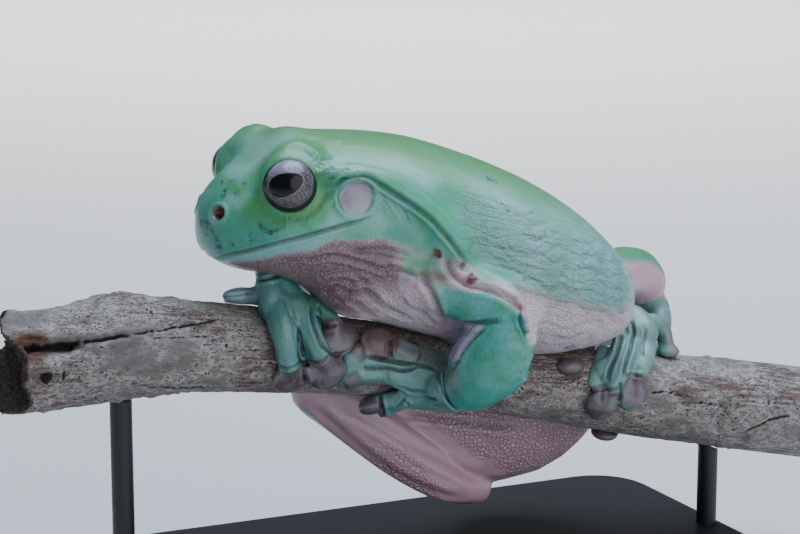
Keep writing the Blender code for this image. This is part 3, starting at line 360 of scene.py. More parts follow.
FOOT_LEFT_CREASES = [
    ((0.65, 0.28, 0.16, 0.9, 1), [
        [(42.4, -1.2, 2.2), (40.8, -2.2, 1), (38.8, -4.4, -0.7), (37.2, -6.2, -1.9), (35.4, -7.4, -3.8),
         (34.4, -8, -6)]]),
    ((0.75, 0.3, 0.14, 0.8, 1), [
        [(43.2, -1.4, 2.6), (42, -3.6, 1), (40.5, -5.7, -0.6), (38.8, -7.2, -2.2), (37.6, -8.4, -3.7),
         (36.9, -8.9, -5.2)]]),
    ((0.4, 0.26, 0.22, 0.6, 1), [
        [(31.6, -7.4, -7.4), (32.6, -8.1, -6.9), (33.9, -8.4, -6.5), (34.9, -9.1, -6.8),
         (36.1, -9.2, -6.4)]]),
    ((0.28, 0.26, 0.08, 0.45, 1), [
        [(33.2, -8.4, -6.7), (33.1, -8.9, -7.8), (32.9, -8.9, -8.8)]]),
    ((0.75, 0.28, 0.16, 0.8, 1), [
        [(36.3, -9.2, -5.4), (36.8, -8.8, -7.6), (36.7, -8.5, -9.4)]]),
    ((0.4, 0.24, 0.2, 0.6, 1), [
        [(37.4, -9, -4.6), (39, -8.3, -4.7), (40.1, -8.5, -5), (41.2, -8.7, -5.3)]]),
    ((0.3, 0.26, 0.1, 0.4, 1), [
        [(44.3, -3.6, 2), (44.1, -4.3, 1.2), (42.9, -5.2, -0.8), (42, -6.9, -2.6)]]),
]

# cracks of the bark, in the same form as the creases; their darkness is shade painted in the crack
BARK_CRACKS = [
    ((2.2, 0.95, 0.5, 1, 1), [
        [(-66.1, -7.3, 9.6), (-64.2, -7.1, 9.9), (-62.5, -7.2, 9.7), (-60.4, -7.2, 9.5), (-58, -7.1, 9.6),
         (-55.8, -7.1, 9.7)]]),
    ((1, 0.42, 0.25, 1, 1), [
        [(-56.4, -7, 9.7), (-53.3, -7.1, 10), (-51.3, -7.2, 10.2), (-48.3, -7.3, 10.4)]]),
    ((0.45, 0.28, 0.12, 0.9, 1), [
        [(-48.9, -7.3, 10.4), (-45.4, -7.3, 10.7), (-40.6, -6.4, 10.9), (-36.8, -5.7, 10.9),
         (-33.2, -5.1, 10.7)]]),
    ((0.35, 0.24, 0.1, 0.7, 1), [
        [(-45.8, -7.8, 9.8), (-42.3, -7.5, 9.4), (-39, -7.1, 9.2), (-35.2, -6.8, 8.7)]]),
    ((0.4, 0.26, 0.12, 0.8, 1), [
        [(-49.5, -7.3, 2.9), (-45.5, -6.8, 1.8), (-40.3, -5.8, 0.8), (-35, -4.8, -0.2)]]),
    ((0.4, 0.24, 0.1, 0.8, 1), [
        [(-59, -7.7, 7.8), (-59, -7.8, 6), (-59.2, -7.4, 3.6)]]),
    ((0.2, 0.22, 0.05, 0.6, 1), [
        [(-57.1, -7.4, 4), (-55.8, -7.3, 3.4), (-54.3, -7.2, 3)]]),
    ((0.25, 0.24, 0.08, 0.6, 1), [
        [(26.5, -6.3, -4.4), (31.1, -6.6, -5.9), (36.2, -6.9, -7.7)]]),
    ((0.3, 0.24, 0.1, 0.7, 1), [
        [(43.5, -7.1, -8.5), (47.1, -7.2, -8.8), (50.9, -7.5, -10.2)]]),
    ((0.25, 0.24, 0.08, 0.6, 1), [
        [(52, -7.7, -11), (55.5, -7.9, -11.7), (60.1, -8, -13.2)]]),
    ((0.35, 0.28, 0.12, 0.8, 1), [
        [(62.3, -7.2, -17.7), (64.5, -7.8, -17), (67.7, -8.2, -15.8), (71.9, -8.2, -15.5)]]),
    ((0.25, 0.24, 0.08, 0.6, 1), [
        [(-33.3, -7.4, 6.1), (-29.1, -7.1, 6), (-26.1, -7, 5.3)]]),
]
CROWN_HUMPS = [      # height, middle and half widths along X and Y
    (1.35, (-19.5, 0.0), (5.5, 6.0)), (0.95, (-20.8, 3.0), (3.2, 5.0)), (-0.60, (-8.0, 0.0), (6.0, 10.0)),
    (-0.65, (-15.0, 0.0), (5.0, 8.0)), (0.50, (-25.0, 8.5), (3.5, 3.5)),
]
ARM_BONES = [
    [(-1, -17, 16), (6, -19, 13.4), (10.6, -21.6, 11)],
    [(10.8, -21.6, 10.4), (8.6, -21, 6), (6, -18.6, 1.8), (3.4, -14.6, -2)],
    [(-8.8, 17.6, 9.2), (-13.4, 13.6, 11.6), (-18.4, 7, 14.6), (-21.4, 1.6, 16.2)],
]
BEHIND_EYE = (-16.8, 13.2, 34.0)
FAR_TOES = [(40.2, -164), (49.0, -152), (56.4, -108), (53.6, -66)]      # X, degrees from the branch's top
PAD_THICKNESS = 1.2         # half the thickness of a toe pad
FOLD_SPACING = 2.1          # loose folds of the flank
FOLD_SLOPE = 16.0           # degrees, falling towards the rump

# sizes of the voxels that the skins and the bark are made with
BODY_CELL, HAND_CELL, LEFT_LEG_CELL, RIGHT_LEG_CELL, BARK_CELL = 0.58, 0.21, 0.24, 0.36, 0.45
BODY_SWELL = 0.25

KNOT = (-63.5, -7.8, 5.4)
KNOT_HOLLOW = (-61.9, -7.8, 5.0)
SPLINTERS = (-63.9, -7.1, 9.7)


# Numbers and meshes

def linear(code):
    """sRGB hex colour as linear RGBA."""
    parts = [int(code[k:k + 2], 16) / 255 for k in (1, 3, 5)]
    return (*[c / 12.92 if c <= 0.04045 else ((c + 0.055) / 1.055) ** 2.4 for c in parts], 1.0)


def unit(vector):
    vector = np.asarray(vector, float)
    return vector / np.linalg.norm(vector)


def step(low, high, value):
    """0 at low, 1 at high, smooth between."""
    t = np.clip((value - low) / (high - low), 0, 1)
    return t * t * (3 - 2 * t)


def along(stations, at):
    """Smooth values of a table of (position, value, ...) rows at many positions."""
    table = np.asarray(stations, float)
    place = table[:, 0]
    at = np.clip(np.atleast_1d(at), place[0], place[-1])
    k = np.clip(np.searchsorted(place, at, side="right") - 1, 0, len(place) - 2)
    slopes = np.gradient(table[:, 1:], place, axis=0)
    width = (place[k + 1] - place[k])[:, None]
    t = (at - place[k])[:, None] / width
    return ((2 * t ** 3 - 3 * t ** 2 + 1) * table[k, 1:] + (t ** 3 - 2 * t ** 2 + t) * width * slopes[k]
            + (3 * t ** 2 - 2 * t ** 3) * table[k + 1, 1:] + (t ** 3 - t ** 2) * width * slopes[k + 1])


def smooth_path(points, spacing=0.25):
    """A polyline through points, filled in with a point every so many millimetres."""
    rows = np.asarray(points, float)
    length = np.r_[0.0, np.cumsum(np.linalg.norm(np.diff(rows[:, :3], axis=0), axis=1))]
    places = np.linspace(0, length[-1], max(int(length[-1] / spacing), 2))
    return along(np.column_stack([length, rows]), places)


def on_branch(x, angle, lift):
    """Point over the branch: angle in degrees from its top towards the frog's left."""
    height, radius = along(BRANCH_AXIS, x)[0]
    turn = math.radians(angle)
    reach = radius + lift
    return (x, -math.sin(turn) * reach, height + math.cos(turn) * reach)


def points_of(piece):
    """Vertices in millimetres in the frog's frame."""
    count = len(piece.data.vertices)
    co = np.empty(count * 3, np.float32)
    piece.data.vertices.foreach_get("co", co)
    co = co.reshape(-1, 3).astype(float) / MM
    co[:, 2] -= AXIS_HEIGHT
    return co


def move_points(piece, co):
    out = co.copy()
    out[:, 2] += AXIS_HEIGHT
    piece.data.vertices.foreach_set("co", (out * MM).astype(np.float32).ravel())
    piece.data.update()


def normals_of(piece):
    out = np.empty(len(piece.data.vertices) * 3, np.float32)
    piece.data.vertex_normals.foreach_get("vector", out)
    return out.reshape(-1, 3).astype(float)


def neighbours(piece):
    edges = np.empty(len(piece.data.edges) * 2, np.int32)
    piece.data.edges.foreach_get("vertices", edges)
    edges = edges.reshape(-1, 2)
    first = np.r_[edges[:, 0], edges[:, 1]]
    second = np.r_[edges[:, 1], edges[:, 0]]
    degree = np.maximum(np.bincount(first, minlength=len(piece.data.vertices)), 1)

    def average(values):
        return np.column_stack([
            np.bincount(first, values[second, k], len(degree)) / degree for k in range(values.shape[1])
        ])
    return average


def relax(piece, rounds, weight=None, keep=0.0):
    """Soften a surface; keep pushes part of each step back, so that thin parts stay thick."""
    average = neighbours(piece)
    co = points_of(piece)
    weight = np.ones(len(co)) if weight is None else weight
    for _ in range(rounds):
        co += 0.5 * weight[:, None] * (average(co) - co)
        if keep:
            co -= 0.5 * keep * weight[:, None] * (average(co) - co)
    move_points(piece, co)


def near_line(co, line, reach):
    """For points near a line: index, distance and place along it (0 to 1)."""
    low, high = line.min(0) - reach, line.max(0) + reach
    index = np.flatnonzero(np.all((co > low) & (co < high), axis=1))
    found = []
    for block in np.array_split(index, max(1, len(index) // 4000 + 1)):
        if not len(block):
            continue
        gap = np.linalg.norm(co[block, None, :] - line[None, :, :3], axis=2)
        best = gap.argmin(1)
        found.append((block, gap[np.arange(len(block)), best], best))
    if not found:
        return np.array([], int), np.array([]), np.array([])
    block, gap, best = (np.concatenate(column) for column in zip(*found))
    ok = gap < reach
    return block[ok], gap[ok], best[ok] / max(len(line) - 1, 1)


def surface_finder(piece):
    co = points_of(piece)
    faces = [tuple(p.vertices) for p in piece.data.polygons]
    return BVHTree.FromPolygons([Vector(c) for c in co], faces)


def lay_on(finder, path):
    return np.array([finder.find_nearest(Vector(p))[0] for p in path])


def on_side(place, side):
    """A place on the frog's right (1) or its mirror on the left (-1)."""
    return np.array((place[0], side * place[1], place[2]))


# Making pieces

def clear_selection():
    if bpy.context.object and bpy.context.object.mode != "OBJECT":
        bpy.ops.object.mode_set(mode="OBJECT")
    bpy.ops.object.select_all(action="DESELECT")


def select_only(*pieces):
    clear_selection()
    for piece in pieces:
        piece.select_set(True)
    bpy.context.view_layer.objects.active = pieces[0]


def apply_modifier(piece, kind, **settings):
    select_only(piece)
    modifier = piece.modifiers.new(kind.lower(), kind)
    for key, value in settings.items():
        setattr(modifier, key, value)
    bpy.ops.object.modifier_apply(modifier=modifier.name)


def join(name, pieces):
    select_only(*pieces)
    if len(pieces) > 1:
        bpy.ops.object.join()
    joined = bpy.context.view_layer.objects.active
    joined.name = name
    joined.data.name = name
    return joined


def copy_of_node(name, swell=0.0):
    """A merged copy of a CAD node, grown by swell millimetres."""
    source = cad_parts[name]
    clear_selection()
    copy = bpy.data.objects.new(name + "_copy", source.data.copy())
    bpy.context.collection.objects.link(copy)
    select_only(copy)
    bpy.ops.object.mode_set(mode="EDIT")
    bpy.ops.mesh.select_all(action="SELECT")
    bpy.ops.mesh.remove_doubles(threshold=0.000002)
    if swell:
        bpy.ops.transform.shrink_fatten(value=swell * MM)
    bpy.ops.object.mode_set(mode="OBJECT")
    return copy


def fuse(name, pieces, cell):
    body = join(name, pieces)
    apply_modifier(body, "REMESH", mode="VOXEL", voxel_size=cell * MM, adaptivity=0.0)
    return body


def refine(piece, wanted):
    """Split the faces round the chosen points once more."""
    chosen = wanted(points_of(piece))
    select_only(piece)
    bpy.ops.object.mode_set(mode="EDIT")
    bpy.ops.mesh.select_mode(type="VERT")
    bpy.ops.mesh.select_all(action="DESELECT")
    bpy.ops.object.mode_set(mode="OBJECT")
    piece.data.vertices.foreach_set("select", chosen)
    bpy.ops.object.mode_set(mode="EDIT")
    bpy.ops.mesh.select_mode(type="VERT")
    bpy.ops.mesh.select_mode(type="FACE")
    bpy.ops.mesh.subdivide(number_cuts=1, smoothness=0.0, ngon=False, quadcorner="INNERVERT")
    bpy.ops.mesh.select_all(action="DESELECT")
    bpy.ops.object.mode_set(mode="OBJECT")


def smooth_shading(piece):
    select_only(piece)
    bpy.ops.object.shade_smooth()


def tube(rows, up=(0.0, 0.0, 1.0), sides=16, spacing=0.6):
    """Rounded, tapered limb: rows of X, Y, Z, radius across, radius along up."""
    rows = [r if len(r) == 5 else (*r, r[3]) for r in rows]
    path = smooth_path(rows, spacing)
    centre = path[:, :3]
    course = np.gradient(centre, axis=0)
    course /= np.linalg.norm(course, axis=1)[:, None]
    caps = [math.radians(a) for a in (78, 60, 40, 20)]
    stations = [(0, -math.sin(a), math.cos(a)) for a in caps]
    stations += [(k, 0.0, 1.0) for k in range(len(path))]
    stations += [(len(path) - 1, math.sin(a), math.cos(a)) for a in reversed(caps)]
    shape = bmesh.new()
    loops = []
    for k, push, scale in stations:
        across = unit(np.cross(course[k], up))
        lift = np.cross(across, course[k])
        reach = 0.5 * (path[k, 3] + path[k, 4])
        middle = centre[k] + course[k] * push * reach
        loop = []
        for n in range(sides):
            a = 2 * math.pi * n / sides
            spot = middle + scale * (across * math.cos(a) * path[k, 3] + lift * math.sin(a) * path[k, 4])
            loop.append(shape.verts.new(Vector((spot[0], spot[1], spot[2] + AXIS_HEIGHT)) * MM))
        loops.append(loop)
    for low, high in zip(loops[:-1], loops[1:]):
        for n in range(sides):
            m = (n + 1) % sides
            shape.faces.new((low[n], low[m], high[m], high[n]))
    for loop in (loops[0], loops[-1]):
        shape.faces.new(loop)
    bmesh.ops.recalc_face_normals(shape, faces=shape.faces)
    data = bpy.data.meshes.new("tube")
    shape.to_mesh(data)
    shape.free()
    made = bpy.data.objects.new("tube", data)
    bpy.context.collection.objects.link(made)
    return made


def ball(centre, turn, radii, segments, rings):
    """Ellipsoid with its three radii along the axes of turn."""
    clear_selection()
    bpy.ops.mesh.primitive_uv_sphere_add(segments=segments, ring_count=rings, radius=1.0)
    made = bpy.context.active_object
    place = Matrix.Translation(Vector((centre[0], centre[1], centre[2] + AXIS_HEIGHT)) * MM)
    made.data.transform(place @ turn.to_4x4() @ Matrix.Diagonal((*[r * MM for r in radii], 1.0)))
    return made


def paint(piece, name, red, green, blue, alpha):
    layer = piece.data.attributes.new(name, "FLOAT_COLOR", "POINT")
    layer.data.foreach_set("color", np.column_stack([red, green, blue, alpha]).astype(np.float32).ravel())


# Material helpers

def add_node(tree, kind, links=None, **settings):
    """Add one node; links names its inputs and what feeds them."""
    node = tree.nodes.new(kind)
    for key, value in settings.items():
        setattr(node, key, value)
    for key, value in (links or {}).items():
        socket = node.inputs[key]
        if isinstance(value, bpy.types.NodeSocket):
            tree.links.new(value, socket)
        else:
            socket.default_value = value
    return node


def new_material(name):
    material = bpy.data.materials.new(name)
    material.use_nodes = True
    tree = material.node_tree
    shader = tree.nodes["Principled BSDF"]
    return material, tree, shader


def millimetres(tree, stretch=(1.0, 1.0, 1.0), turn=(0.0, 0.0, 0.0)):
    """Object coordinates in millimetres, stretched and turned."""
    place = add_node(tree, "ShaderNodeTexCoord").outputs["Object"]
    scale = tuple(s / MM for s in stretch)
    spun = add_node(tree, "ShaderNodeMapping", {"Vector": place, "Rotation": turn})
    return add_node(tree, "ShaderNodeMapping", {"Vector": spun.outputs[0], "Scale": scale}).outputs[0]


def ramp(tree, value, low, high, bottom=0.0, top=1.0):
    return add_node(tree, "ShaderNodeMapRange", {
        "Value": value, "From Min": low, "From Max": high, "To Min": bottom, "To Max": top,
    }, interpolation_type="SMOOTHSTEP").outputs[0]


def product(tree, *values):
    out = values[0]
    for value in values[1:]:
        out = add_node(tree, "ShaderNodeMath", {0: out, 1: value}, operation="MULTIPLY").outputs[0]
    return out


def total(tree, *values):
    out = values[0]
    for value in values[1:]:
        out = add_node(tree, "ShaderNodeMath", {0: out, 1: value}, operation="ADD").outputs[0]
    return out


def blend(tree, factor, first, second, kind="MIX"):
    mix = add_node(tree, "ShaderNodeMix", data_type="RGBA", blend_type=kind)
    for key, value in ((0, factor), (6, first), (7, second)):
        if isinstance(value, bpy.types.NodeSocket):
            tree.links.new(value, mix.inputs[key])
        else:
            mix.inputs[key].default_value = value
    return mix.outputs[2]


def coats(tree, base, *layers):
    """Lay colours over a base one after another; each layer is a factor and a colour."""
    for factor, colour in layers:
        base = blend(tree, factor, base, colour)
    return base


def clouds(tree, vector, scale, detail, roughness=0.5, output=0):
    """Soft noise, scale patches a millimetre."""
    return add_node(tree, "ShaderNodeTexNoise", {
        "Vector": vector, "Scale": scale, "Detail": detail, "Roughness": roughness}).outputs[output]


def cells(tree, vector, scale, randomness=1.0, feature="F1"):
    """Distance from the middle of a cell or from its edge, scale cells a millimetre."""
    return add_node(tree, "ShaderNodeTexVoronoi", {
        "Vector": vector, "Scale": scale, "Randomness": randomness}, feature=feature).outputs["Distance"]


def relief(tree, shader, height, strength, depth):
    """Fine surface relief, depth in millimetres."""
    bump = add_node(tree, "ShaderNodeBump", {"Height": height, "Strength": strength, "Distance": depth * MM})
    tree.links.new(bump.outputs[0], shader.inputs["Normal"])


def finish_values(shader, **settings):
    """Set sockets of the shader to plain values; underscores stand for spaces."""
    for key, value in settings.items():
        shader.inputs[key.replace("_", " ")].default_value = value


def furrows(tree, vector, scale, width):
    """Thin wandering lines, 1 in the furrow and 0 on the rounded skin between."""
    hills = add_node(tree, "ShaderNodeTexNoise", {
        "Vector": vector, "Scale": scale, "Detail": 2.0, "Distortion": 0.6}).outputs[0]
    level = add_node(tree, "ShaderNodeMath", {0: total(tree, hills, -0.5)}, operation="ABSOLUTE").outputs[0]
    return ramp(tree, level, width, 0.0)


def folds(tree, vector, spacing, sway, width):
    """Nearly parallel skin folds, spacing mm apart in height; 1 in the valley, 0 on the fold."""
    wave = add_node(tree, "ShaderNodeTexWave", {
        "Vector": vector, "Scale": math.tau / 20 / spacing, "Distortion": sway, "Detail": 3.0,
        "Detail Scale": 1.2, "Detail Roughness": 0.6}, bands_direction="Z").outputs[0]
    return ramp(tree, wave, width, 0.0)


def masks(tree, name):
    layer = add_node(tree, "ShaderNodeAttribute", attribute_name=name)
    split = add_node(tree, "ShaderNodeSeparateColor", {"Color": layer.outputs["Color"]})
    return split.outputs[0], split.outputs[1], split.outputs[2], layer.outputs["Alpha"]


# Frog skin

SKIN_MASKS = {      # colour layers carried by the mesh, four masks in each
    "zones": ("pink", "throat", "olive", "pad"),
    "marks": ("crease", "wrinkle", "granule", "blue"),
    "touch": ("sore", "drum", "emerald", "pale_and_highlight"),
    "extra": ("fleck", "bare", "lilac", "brown"),
}


def paint_skin(piece, found):
    """Store the skin masks on the mesh; masks that are not given stay empty."""
    empty = np.zeros(len(piece.data.vertices))
    for layer, names in SKIN_MASKS.items():
        paint(piece, layer, *[found.get(name, empty) for name in names])
    piece.data.materials.clear()
    piece.data.materials.append(frog_skin())
    smooth_shading(piece)
    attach(piece, "root")


def frog_skin():
    """Living tree-frog skin: smooth, waxy and moist, so it takes broad soft highlights."""
    made = bpy.data.materials.get("moist_frog_skin")
    if made:
        return made
    material, tree, shader = new_material("moist_frog_skin")
    colour = chosen_colours()
    mask = {}
    for layer, names in SKIN_MASKS.items():
        mask.update(zip(names, masks(tree, layer)))
    mm = millimetres(tree)
    cloud = clouds(tree, mm, 0.20, 5.0)
    fleck = clouds(tree, mm, 2.2, 3.0)
    grain = clouds(tree, mm, 4.5, 2.0)
    drift = clouds(tree, mm, 0.42, 4.0)

    # the flank's folds run along the body 2 mm apart, with finer ones between and a few across
    along_body = millimetres(tree, (0.55, 0.8, 1.0), (0.0, math.radians(-16.0), 0.0))
    broad = folds(tree, along_body, 1.9, 9.0, 0.13)
    narrow = folds(tree, along_body, 0.85, 12.0, 0.22)
    crossing = furrows(tree, mm, 0.55, 0.035)
    broken = ramp(tree, cloud, 0.38, 0.55, 0.25, 1.0)
    fold_line = product(tree, total(tree, broad, product(tree, crossing, 0.6)), mask["wrinkle"], broken)
    fine_line = product(tree, narrow, mask["wrinkle"])
    # shallow creases of the hide on arm and eardrum
    hide = product(tree, furrows(tree, mm, 1.25, 0.09),
                   total(tree, mask["emerald"], product(tree, mask["drum"], 0.3)))
    # the belly is paved with soft granules two thirds of a millimetre across
    paved = millimetres(tree, (0.8, 1.0, 1.3), (0.0, math.radians(-14.0), 0.0))
    gap = ramp(tree, cells(tree, paved, 1.45, 0.8, "DISTANCE_TO_EDGE"), 0.20, 0.02)
    gap_line = product(tree, gap, total(tree, mask["bare"], product(tree, mask["wrinkle"], 0.3)))
    # larger ones stand on the thigh
    large = product(tree, mask["granule"], ramp(tree, mask["throat"], 0.0, 0.6, 1.0, 0.0))
    bulb = cells(tree, mm, 1.3, 0.75, "DISTANCE_TO_EDGE")
    bulb_top = product(tree, ramp(tree, bulb, 0.0, 0.28), large)
    # and small pale ones, half a millimetre across, on the mauve throat
    bead_top = product(tree, ramp(tree, cells(tree, mm, 2.0, 0.85), 0.60, 0.15), mask["throat"])
    # very fine leathery texture everywhere
    leather = cells(tree, mm, 3.4)

    stray = total(tree, product(tree, drift, 0.9), product(tree, fleck, 0.55))
    base = coats(
        tree, colour["teal"],
        (product(tree, ramp(tree, cloud, 0.40, 0.70), 0.40), colour["mint"]),
        (product(tree, ramp(tree, drift, 0.52, 0.66), 0.35), colour["blue"]),
        (product(tree, ramp(tree, drift, 0.48, 0.36), 0.35), colour["leaf"]),
        (product(tree, mask["olive"], ramp(tree, cloud, 0.3, 0.55, 0.6, 1.0)), colour["olive"]),
        (product(tree, mask["blue"], ramp(tree, cloud, 0.65, 0.4, 0.45, 1.0)), colour["blue"]),
        (ramp(tree, total(tree, mask["emerald"], stray), 0.95, 1.5),
         blend(tree, ramp(tree, drift, 0.35, 0.65), colour["emerald"], colour["arm"])),
        (ramp(tree, total(tree, mask["pink"], product(tree, stray, 0.6)), 0.60, 1.35), colour["pink"]),
        (ramp(tree, total(tree, mask["throat"], stray), 1.0, 1.45), colour["throat"]),
        (mask["bare"], colour["bare"]),
        (product(tree, bead_top, ramp(tree, fleck, 0.25, 0.55, 0.15, 0.62)), colour["granule"]),
        # painted shade darkens the gaps between the thigh's granules; their tops are paler
        (product(tree, ramp(tree, bulb, 0.16, 0.0), large, 0.26), colour["throat"]),
        (product(tree, ramp(tree, bulb, 0.12, 0.34), large, 0.30), colour["bare"]),
        (mask["lilac"], colour["lilac"]),
        (mask["drum"], colour["drum"]),
        (product(tree, mask["pad"], ramp(tree, cloud, 0.2, 0.6, 0.8, 1.0)),
         blend(tree, ramp(tree, drift, 0.42, 0.58), colour["pad"], colour["pad_light"])),
        (mask["brown"], colour["brown"]),
        (product(tree, mask["pale_and_highlight"], ramp(tree, cloud, 0.3, 0.6, 0.6, 1.0)), colour["frost"]),
        # painted shade: the valleys of the folds, the gaps between granules and the creases are darkened
        (total(tree, product(tree, fold_line, 0.28), product(tree, fine_line, 0.14),
               product(tree, gap_line, 0.20)), colour["crease"]),
        (mask["crease"], colour["crease"]),
        (mask["sore"], colour["sore"]),
        (product(tree, mask["fleck"], ramp(tree, fleck, 0.38, 0.56), 0.9), colour["fleck"]))
    shade = ramp(tree, grain, 0.3, 0.75, 0.88, 1.08)
    shade = add_node(tree, "ShaderNodeCombineColor", {0: shade, 1: shade, 2: shade}).outputs[0]
    base = blend(tree, 1.0, base, shade, "MULTIPLY")
    tree.links.new(base, shader.inputs["Base Color"])

    relief(tree, shader, total(
        tree, product(tree, grain, 0.14), product(tree, fold_line, -0.9), product(tree, fine_line, -0.5),
        product(tree, bead_top, 0.7), product(tree, gap_line, -0.7), product(tree, bulb_top, 1.1),
        product(tree, hide, -0.20), product(tree, leather, -0.16)), 0.9, 0.26)
    # the dry crown is duller than the wet sides
    dull = total(tree, ramp(tree, fleck, 0.3, 0.8, 0.30, 0.44), product(tree, mask["olive"], 0.18))
    tree.links.new(dull, shader.inputs["Roughness"])
    finish_values(shader, Specular_IOR_Level=0.55, Subsurface_Weight=0.10, Subsurface_Scale=0.8 * MM,
                  Subsurface_Radius=(0.9, 0.7, 0.6), Coat_Weight=0.34, Coat_Roughness=0.18)
    return material


def eye_frame(side):
    """Middle of an eye, its outward axis, and the directions forward and up across it."""
    centre, axis = on_side(EYE_CENTRE, side), unit(on_side(EYE_AXIS, side))
    fore = unit(np.cross(axis, (0.0, 0.0, 1.0))) * -side
    up = unit(np.cross(axis, fore)) * side
    if up[2] < 0:
        up = -up
    return centre, axis, fore, up


def shape_lids(co, radius):
    """Press the skin under the eyeball inside the lids and give the lids their thin rounded edge."""
    rim = np.zeros(len(co))
    for side in (-1, 1):
        centre, axis, fore, up = eye_frame(side)
        away = co - centre
        reach = np.linalg.norm(away, axis=1)
        close = np.flatnonzero(reach < radius + 3.2)
        line = away[close] / reach[close, None]
        angle = np.degrees(np.arccos(np.clip(line @ axis, -1, 1)))
        round_eye = np.arctan2(line @ up, line @ fore)
        above = np.maximum(np.sin(round_eye), 0)
        opening = LID_OPENING + 3.0 * np.abs(np.cos(round_eye)) ** 8 - 2.5 * above
        past = angle - opening
        lid = radius + 0.16 + 0.16 * above + (0.22 + 0.45 * above) * step(0.0, 13.0, past)
        target = radius - 0.7 + (lid - radius + 0.7) * step(-5.0, 0.5, past)
        hold = (1 - step(5.0 + 5.0 * above, 24.0, past)) * step(radius + 3.1, radius + 1.4, reach[close])
        co[close] = centre + line * (target * hold + reach[close] * (1 - hold))[:, None]
        rim[close] = np.maximum(rim[close], np.exp(-((past + 2.0) / 2.2) ** 2))
    return co, rim


def crease_routes(creases, spacing):
    """Each crease's filled-in line with its depth, half width, roll and darkness."""
    for (depth, width, roll, shade, sides), routes in creases:
        for points in routes:
            for side in ((1, -1) if sides == 2 else (1,)):
                path = smooth_path([(x, side * y, z) for x, y, z in points], spacing)
                yield path, depth, width, roll, shade


def fold_skin(skin, creases):
    """Sink grooves along the creases, raise a roll on each side; returns the shade painted on each vertex,
    darkest in the groove.
    """
    co, normal = points_of(skin), normals_of(skin)
    dark = np.zeros(len(co))
    finder = surface_finder(skin)
    for path, depth, width, roll, shade in crease_routes(creases, 0.25):
        path = lay_on(finder, path)
        for _ in range(6):
            path[1:-1] += 0.5 * (0.5 * (path[:-2] + path[2:]) - path[1:-1])
        index, gap, place = near_line(co, path, 5 * width)
        taper = step(0.0, 0.12, np.minimum(place, 1 - place))
        push = roll * np.exp(-((gap - 2.2 * width) / (1.1 * width)) ** 2)
        push -= depth * np.exp(-(gap / width) ** 2)
        co[index] += normal[index] * (push * taper)[:, None]
        dark[index] = np.maximum(dark[index], shade * taper * np.exp(-(gap / (0.75 * width)) ** 2))
    move_points(skin, co)
    return dark


def near_creases(co, creases, reach):
    """Vertices within reach of any crease."""
    near = np.zeros(len(co), bool)
    for path, *_ in crease_routes(creases, 0.8):
        near[near_line(co, path, reach)[0]] = True
    return near


def loose_folds(co, amount):
    """Long wandering folds of loose skin: 1 in a valley, 0 on the fold between."""
    deep = np.zeros(len(co))
    slope = math.radians(FOLD_SLOPE)
    for index in np.nonzero(amount > 0.02)[0]:
        place = Vector(co[index])
        level = (place.z * math.cos(slope) + place.x * math.sin(slope)) / FOLD_SPACING
        level += 1.5 * noise.noise(place * 0.14) + 0.5 * noise.noise(place * 0.45)
        strength = min(max(0.55 + 1.3 * noise.noise(place * 0.2 + Vector((9.0, 0.0, 0.0))), 0.0), 1.0)
        deep[index] = strength * (0.5 + 0.5 * math.cos(math.tau * level)) ** 3
    return deep * amount


def spots(co, rows, ragged=0.0):
    """How deep each vertex lies inside round spots of (place, radius, stretch along X)."""
    deep = np.zeros(len(co))
    for row in rows:
        place, radius = np.array(row[0]), row[1]
        away = co - place
        away[:, 0] /= row[2] if len(row) > 2 else 1.0
        wave = ragged * np.sin(3.1 * away[:, 0] / radius + 2.0 * away[:, 2] / radius + place[0])
        deep = np.maximum(deep, step(1.0, 0.55, np.linalg.norm(away, axis=1) / radius + wave))
    return deep


def area(co, name, soft, limit=-1.0):
    """How deep each vertex lies inside a named outline, seen from the front; soft is the edge in mm."""
    across = unit(np.cross(FRONT, (0, 0, 1)))
    seen = np.array((across, np.cross(across, FRONT)))
    flat, edge = co @ seen.T, np.array(AREAS[name]) @ seen.T
    inside = np.zeros(len(co), bool)
    gap = np.full(len(co), 1e9)
    for start, end in zip(edge, np.roll(edge, -1, axis=0)):
        run = end - start
        place = np.clip(((flat - start) @ run) / (run @ run), 0, 1)
        gap = np.minimum(gap, np.linalg.norm(flat - start - place[:, None] * run, axis=1))
        crosses = (start[1] > flat[:, 1]) != (end[1] > flat[:, 1])
        reach = start[0] + (flat[:, 1] - start[1]) * run[0] / (run[1] if abs(run[1]) > 1e-9 else 1e-9)
        inside ^= crosses & (flat[:, 0] < reach)
    return step(-soft, soft, np.where(inside, gap, -gap)) * (co[:, 1] < limit)


def body_zones(co, normal):
    """Where the skin is pink, mauve, olive, blue and wrinkled, from its place on the frog."""
    x, y, z = co.T
    side = np.abs(y)
    border = np.interp(x, *np.array(THROAT_BORDER).T)
    below = border - z + 0.3 * np.sin(0.9 * x + 0.5 * y)
    soft = np.interp(x, [-34, -22, -4, 4, 20], [0.6, 1.3, 1.5, 3.0, 4.6])
    pink = step(-1.0, 1.0, below / soft)
    throat = step(-1.3, 1.3, below) * step(-1.0, -9.0, x) * step(9.0, 15.0, z + 0.2 * side)
    olive = 0.95 * step(0.35, 0.9, normal[:, 2]) * step(29.0, 36.0, z + 0.42 * np.maximum(x + 4, 0))
    blue = 0.75 * step(20.0, 40.0, x) * step(0.95, 0.3, normal[:, 2]) + 0.35 * step(-31.5, -34.5, x)
    blue = np.maximum(blue, 0.3 * step(26.0, 23.0, z - 0.22 * np.maximum(-x - 20, 0)) * step(-14, -20, x))
    wrinkle = step(0.0, 9.0, x) * step(0.85, 0.45, normal[:, 2]) * step(-1.0, 3.0, z)
    return pink, throat, olive, np.clip(blue, 0, 1), wrinkle


